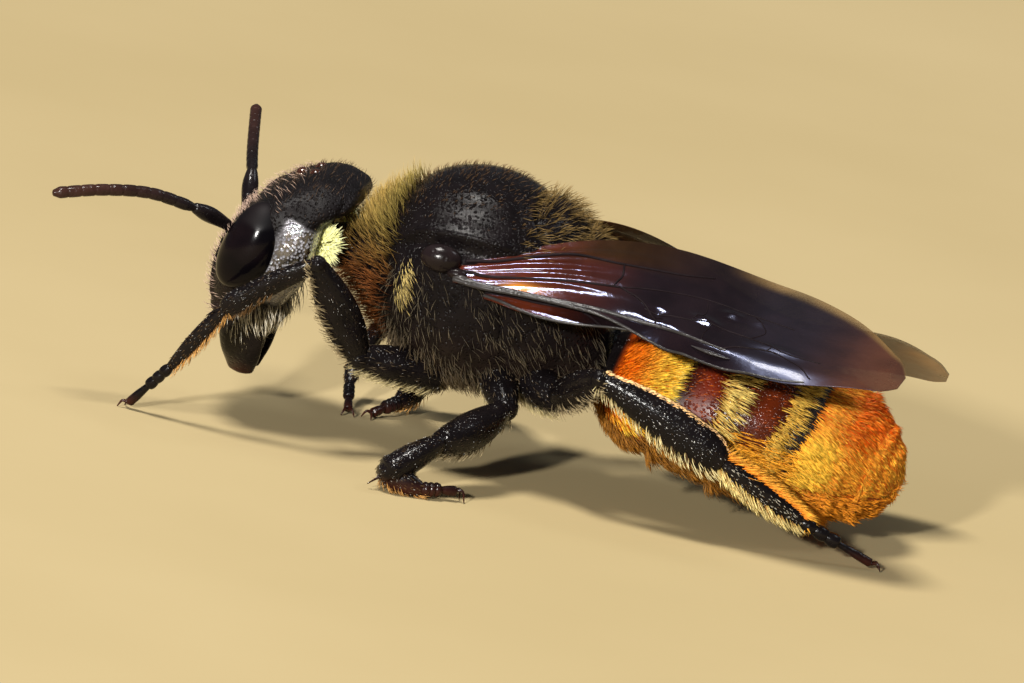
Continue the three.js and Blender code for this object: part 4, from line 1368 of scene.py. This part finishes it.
for k, (grid, (count, reach)) in enumerate(zip(ABDOMEN_GRIDS, BELLY)):
    roots = scatter(grid, count, lambda p, angle: ease(-14, -40, angle), (k, 6))
    belly.append(hairs(roots, BACK + 0.2 * DOWN, reach, 40, 0.028, belly_colours, curl=0.7,
                       wild=0.16, rings_up=LONG))
coat("coat_belly", "abdomen_amber", *belly)

# %% [markdown]
# ## Hair of the legs
# Legs are bristly: short dark hair all over with pale specks that are painted glints, golden
# brushes on the hind shins and feet, and pale fringes that hang from the thighs. The lie is always
# towards the foot.

# %% Leg coat
LEG_HAIR = {  # count, length, lift, colours, then count, length and colours of the fringe below
    "coxa": (160, 0.2, 35, pair("15100c", "6a5a44"), 220, 0.35, pair("3a2e1a", "cebe8c")),
    "femur": (220, 0.12, 30, pair("100c09", "423426"), 170, 0.34, pair("3a2e20", "b4a27c")),
    "tibia": (220, 0.12, 30, pair("100c09", "423220"), 90, 0.2, pair("2b1c10", "7a5c38")),
    "tarsus": (220, 0.12, 32, pair("1c130b", "6a5030"), 110, 0.27, pair("6a4018", "dca860")),
}
BRUSHES = {  # of the hind leg: the side, how narrow, count, length, lift, colours
    "tibia": [
        (UP, 0.85, 1200, 0.14, 15, pair("c88040", "f8d49a")),
        (DOWN, 0.5, 230, 0.36, 58, pair("7a6028", "f2e6b0")),
        # Short pale bristles on the outer face: partly hair, partly painted glints.
        (LEFT, 0.5, 60, 0.07, 35, pair("4a4846", "e4e2dc")),
    ],
    "tarsus": [
        (UP, 0.5, 900, 0.42, 30, pair("d0680a", "ffc24a")),
        (DOWN, 0.5, 520, 0.38, 42, pair("b08a34", "fbeca8")),
        # Short pale bristles on the outer face: partly hair, partly painted glints.
        (LEFT, 0.4, 90, 0.1, 30, pair("2a2620", "c8c2b2")),
    ],
}
# Painted glints: the colours of short pale specks of hair that stand in for glints on the shell.
PAINTED_GLINTS = pair("4a4846", "c4c2bc")


def facing(grid, towards, from_share, narrow=0.5):
    """A weight for scatter: the side of a leg part that looks one way, more near its end."""
    middle = (grid[:-1] + grid[1:]).mean(1, keepdims=True) / 2
    share = np.linspace(0, 1, len(middle))[:, None]
    end = ease(from_share, from_share + 0.3, share)
    return lambda p, _: ease(narrow, 0.95, unit(p - middle) @ towards) * end


def leg_hair(name, hand, tile):
    """A leg part's batches: dark hair, pale specks painted as glints, the fringe below, a hind
    leg's brushes.
    """
    part = name.split("_")[2]
    count, length, lift, colours, below, hang, pale = LEG_HAIR[part]
    grid = LEG_GRIDS[name][0]
    roots = scatter(grid, count, tile=tile)
    batches = [hairs(roots, roots[2], length, lift, 0.017, colours)]
    # A hundred short pale hairs, painted glints on the shell.
    roots = scatter(grid, 100, tile=tile)
    batches.append(hairs(roots, roots[2], 0.07, 40, 0.018, PAINTED_GLINTS, wild=0.3))
    roots = scatter(grid, below, facing(grid, DOWN, 0.45 if part == "tibia" else -0.3), tile)
    batches.append(hairs(roots, roots[2] + 0.8 * DOWN, hang, 40, 0.02, pale, rings_up=LONG))
    brushes = BRUSHES.get(part, ()) if name.startswith("hindleg") else ()
    for towards, narrow, count, length, lift, colours in brushes:
        towards = towards * [hand, 1, 1]
        roots = scatter(grid, count, facing(grid, towards, -0.3, narrow), tile)
        batches.append(hairs(roots, roots[2] + 0.4 * towards, length, lift, 0.024, colours,
                             wild=0.12, rings_up=LONG))
    return batches


for side, hand in SIDES.items():
    names = [name for name in LEG_GRIDS if side in name]
    batches = [leg_hair(name, hand, (k, len(names))) for k, name in enumerate(names)]
    coat(f"coat_legs_{side}", "leg", *sum(batches, []))

# %% [markdown]
# ## Floor, light and camera
# A pale matt floor and a dim pale sky. A soft key lamp hangs almost overhead, a small strong lamp
# beside the camera makes the sharp glints, and a weak one behind draws the rim. The camera looks at
# the bee's left side from a little above, with a long lens, and is rolled by 10.8 degrees.

# %% Floor
FLOOR_HALF = 1.5  # metres from the floor's middle to an edge
grid = np.array([[-1, -1, 0], [1, -1, 0], [1, 1, 0], [-1, 1, 0]], float) * FLOOR_HALF
floor_mesh = bpy.data.meshes.new("floor")
floor_mesh.from_pydata(grid.tolist(), [], [(0, 1, 2, 3)])
paint, tree, shader = material("floor_paint", 0.85)
two_tones(tree, shader, span(tree, noise(tree, 40, 4), 0.2, 0.8), "95845c", "9e8d66")
floor_mesh.materials.append(paint)
floor = bpy.data.objects.new("floor", floor_mesh)
bpy.context.scene.collection.objects.link(floor)

# %% Camera
AZIMUTH, ELEVATION, ROLL = np.radians([96.0, 12.0, 10.8])
TARGET, DISTANCE = np.array([0, 0.00045, 0.00275]), 0.3  # metres
LENS, FILM = 495.7, 36  # mm
back = np.array([np.sin(AZIMUTH) * np.cos(ELEVATION), -np.cos(AZIMUTH) * np.cos(ELEVATION),
                 np.sin(ELEVATION)])
level = unit(np.cross(-back, UP))
upright = np.cross(level, -back)
right = level * np.cos(ROLL) + upright * np.sin(ROLL)
upward = np.cross(back, right)
camera = bpy.data.objects.new("camera", bpy.data.cameras.new("camera"))
camera.data.lens, camera.data.sensor_width = LENS, FILM
camera.data.clip_start, camera.data.clip_end = 0.01, 20
axes = Matrix(np.array([right, upward, back]).T.tolist())
camera.matrix_world = Matrix.Translation((TARGET + back * DISTANCE).tolist()) @ axes.to_4x4()
bpy.context.scene.collection.objects.link(camera)
bpy.context.scene.camera = camera

# %% Light
def lamp(name, place, size, power, colour):
    """A square area light that faces the bee, placed by metres to the right, up and back in the
    view."""
    data = bpy.data.lights.new(name, "AREA")
    data.size, data.energy, data.color = size, power, colour
    made = bpy.data.objects.new(name, data)
    where = TARGET + place[0] * level + place[1] * UP + place[2] * back
    toward = unit(TARGET - where)
    side = unit(np.cross(toward, UP))
    turn = np.array([side, np.cross(side, toward), -toward]).T
    made.matrix_world = Matrix.Translation(where.tolist()) @ Matrix(turn.tolist()).to_4x4()
    bpy.context.scene.collection.objects.link(made)


lamp("key", (-0.13, 0.5, 0.09), 0.12, 4.6, (1, 0.96, 0.9))
lamp("front", (-0.16, 0.06, 0.5), 0.028, 5.0, (1, 0.97, 0.92))
lamp("rim", (0.3, 0.45, -0.1), 0.12, 0.4, (0.9, 0.95, 1))
world = bpy.data.worlds.new("pale_sky")
world.use_nodes = True
world.node_tree.nodes["Background"].inputs["Color"].default_value = (0.75, 0.8, 0.88, 1)
world.node_tree.nodes["Background"].inputs["Strength"].default_value = 0.12
bpy.context.scene.world = world
bpy.context.scene.view_settings.view_transform = "Standard"
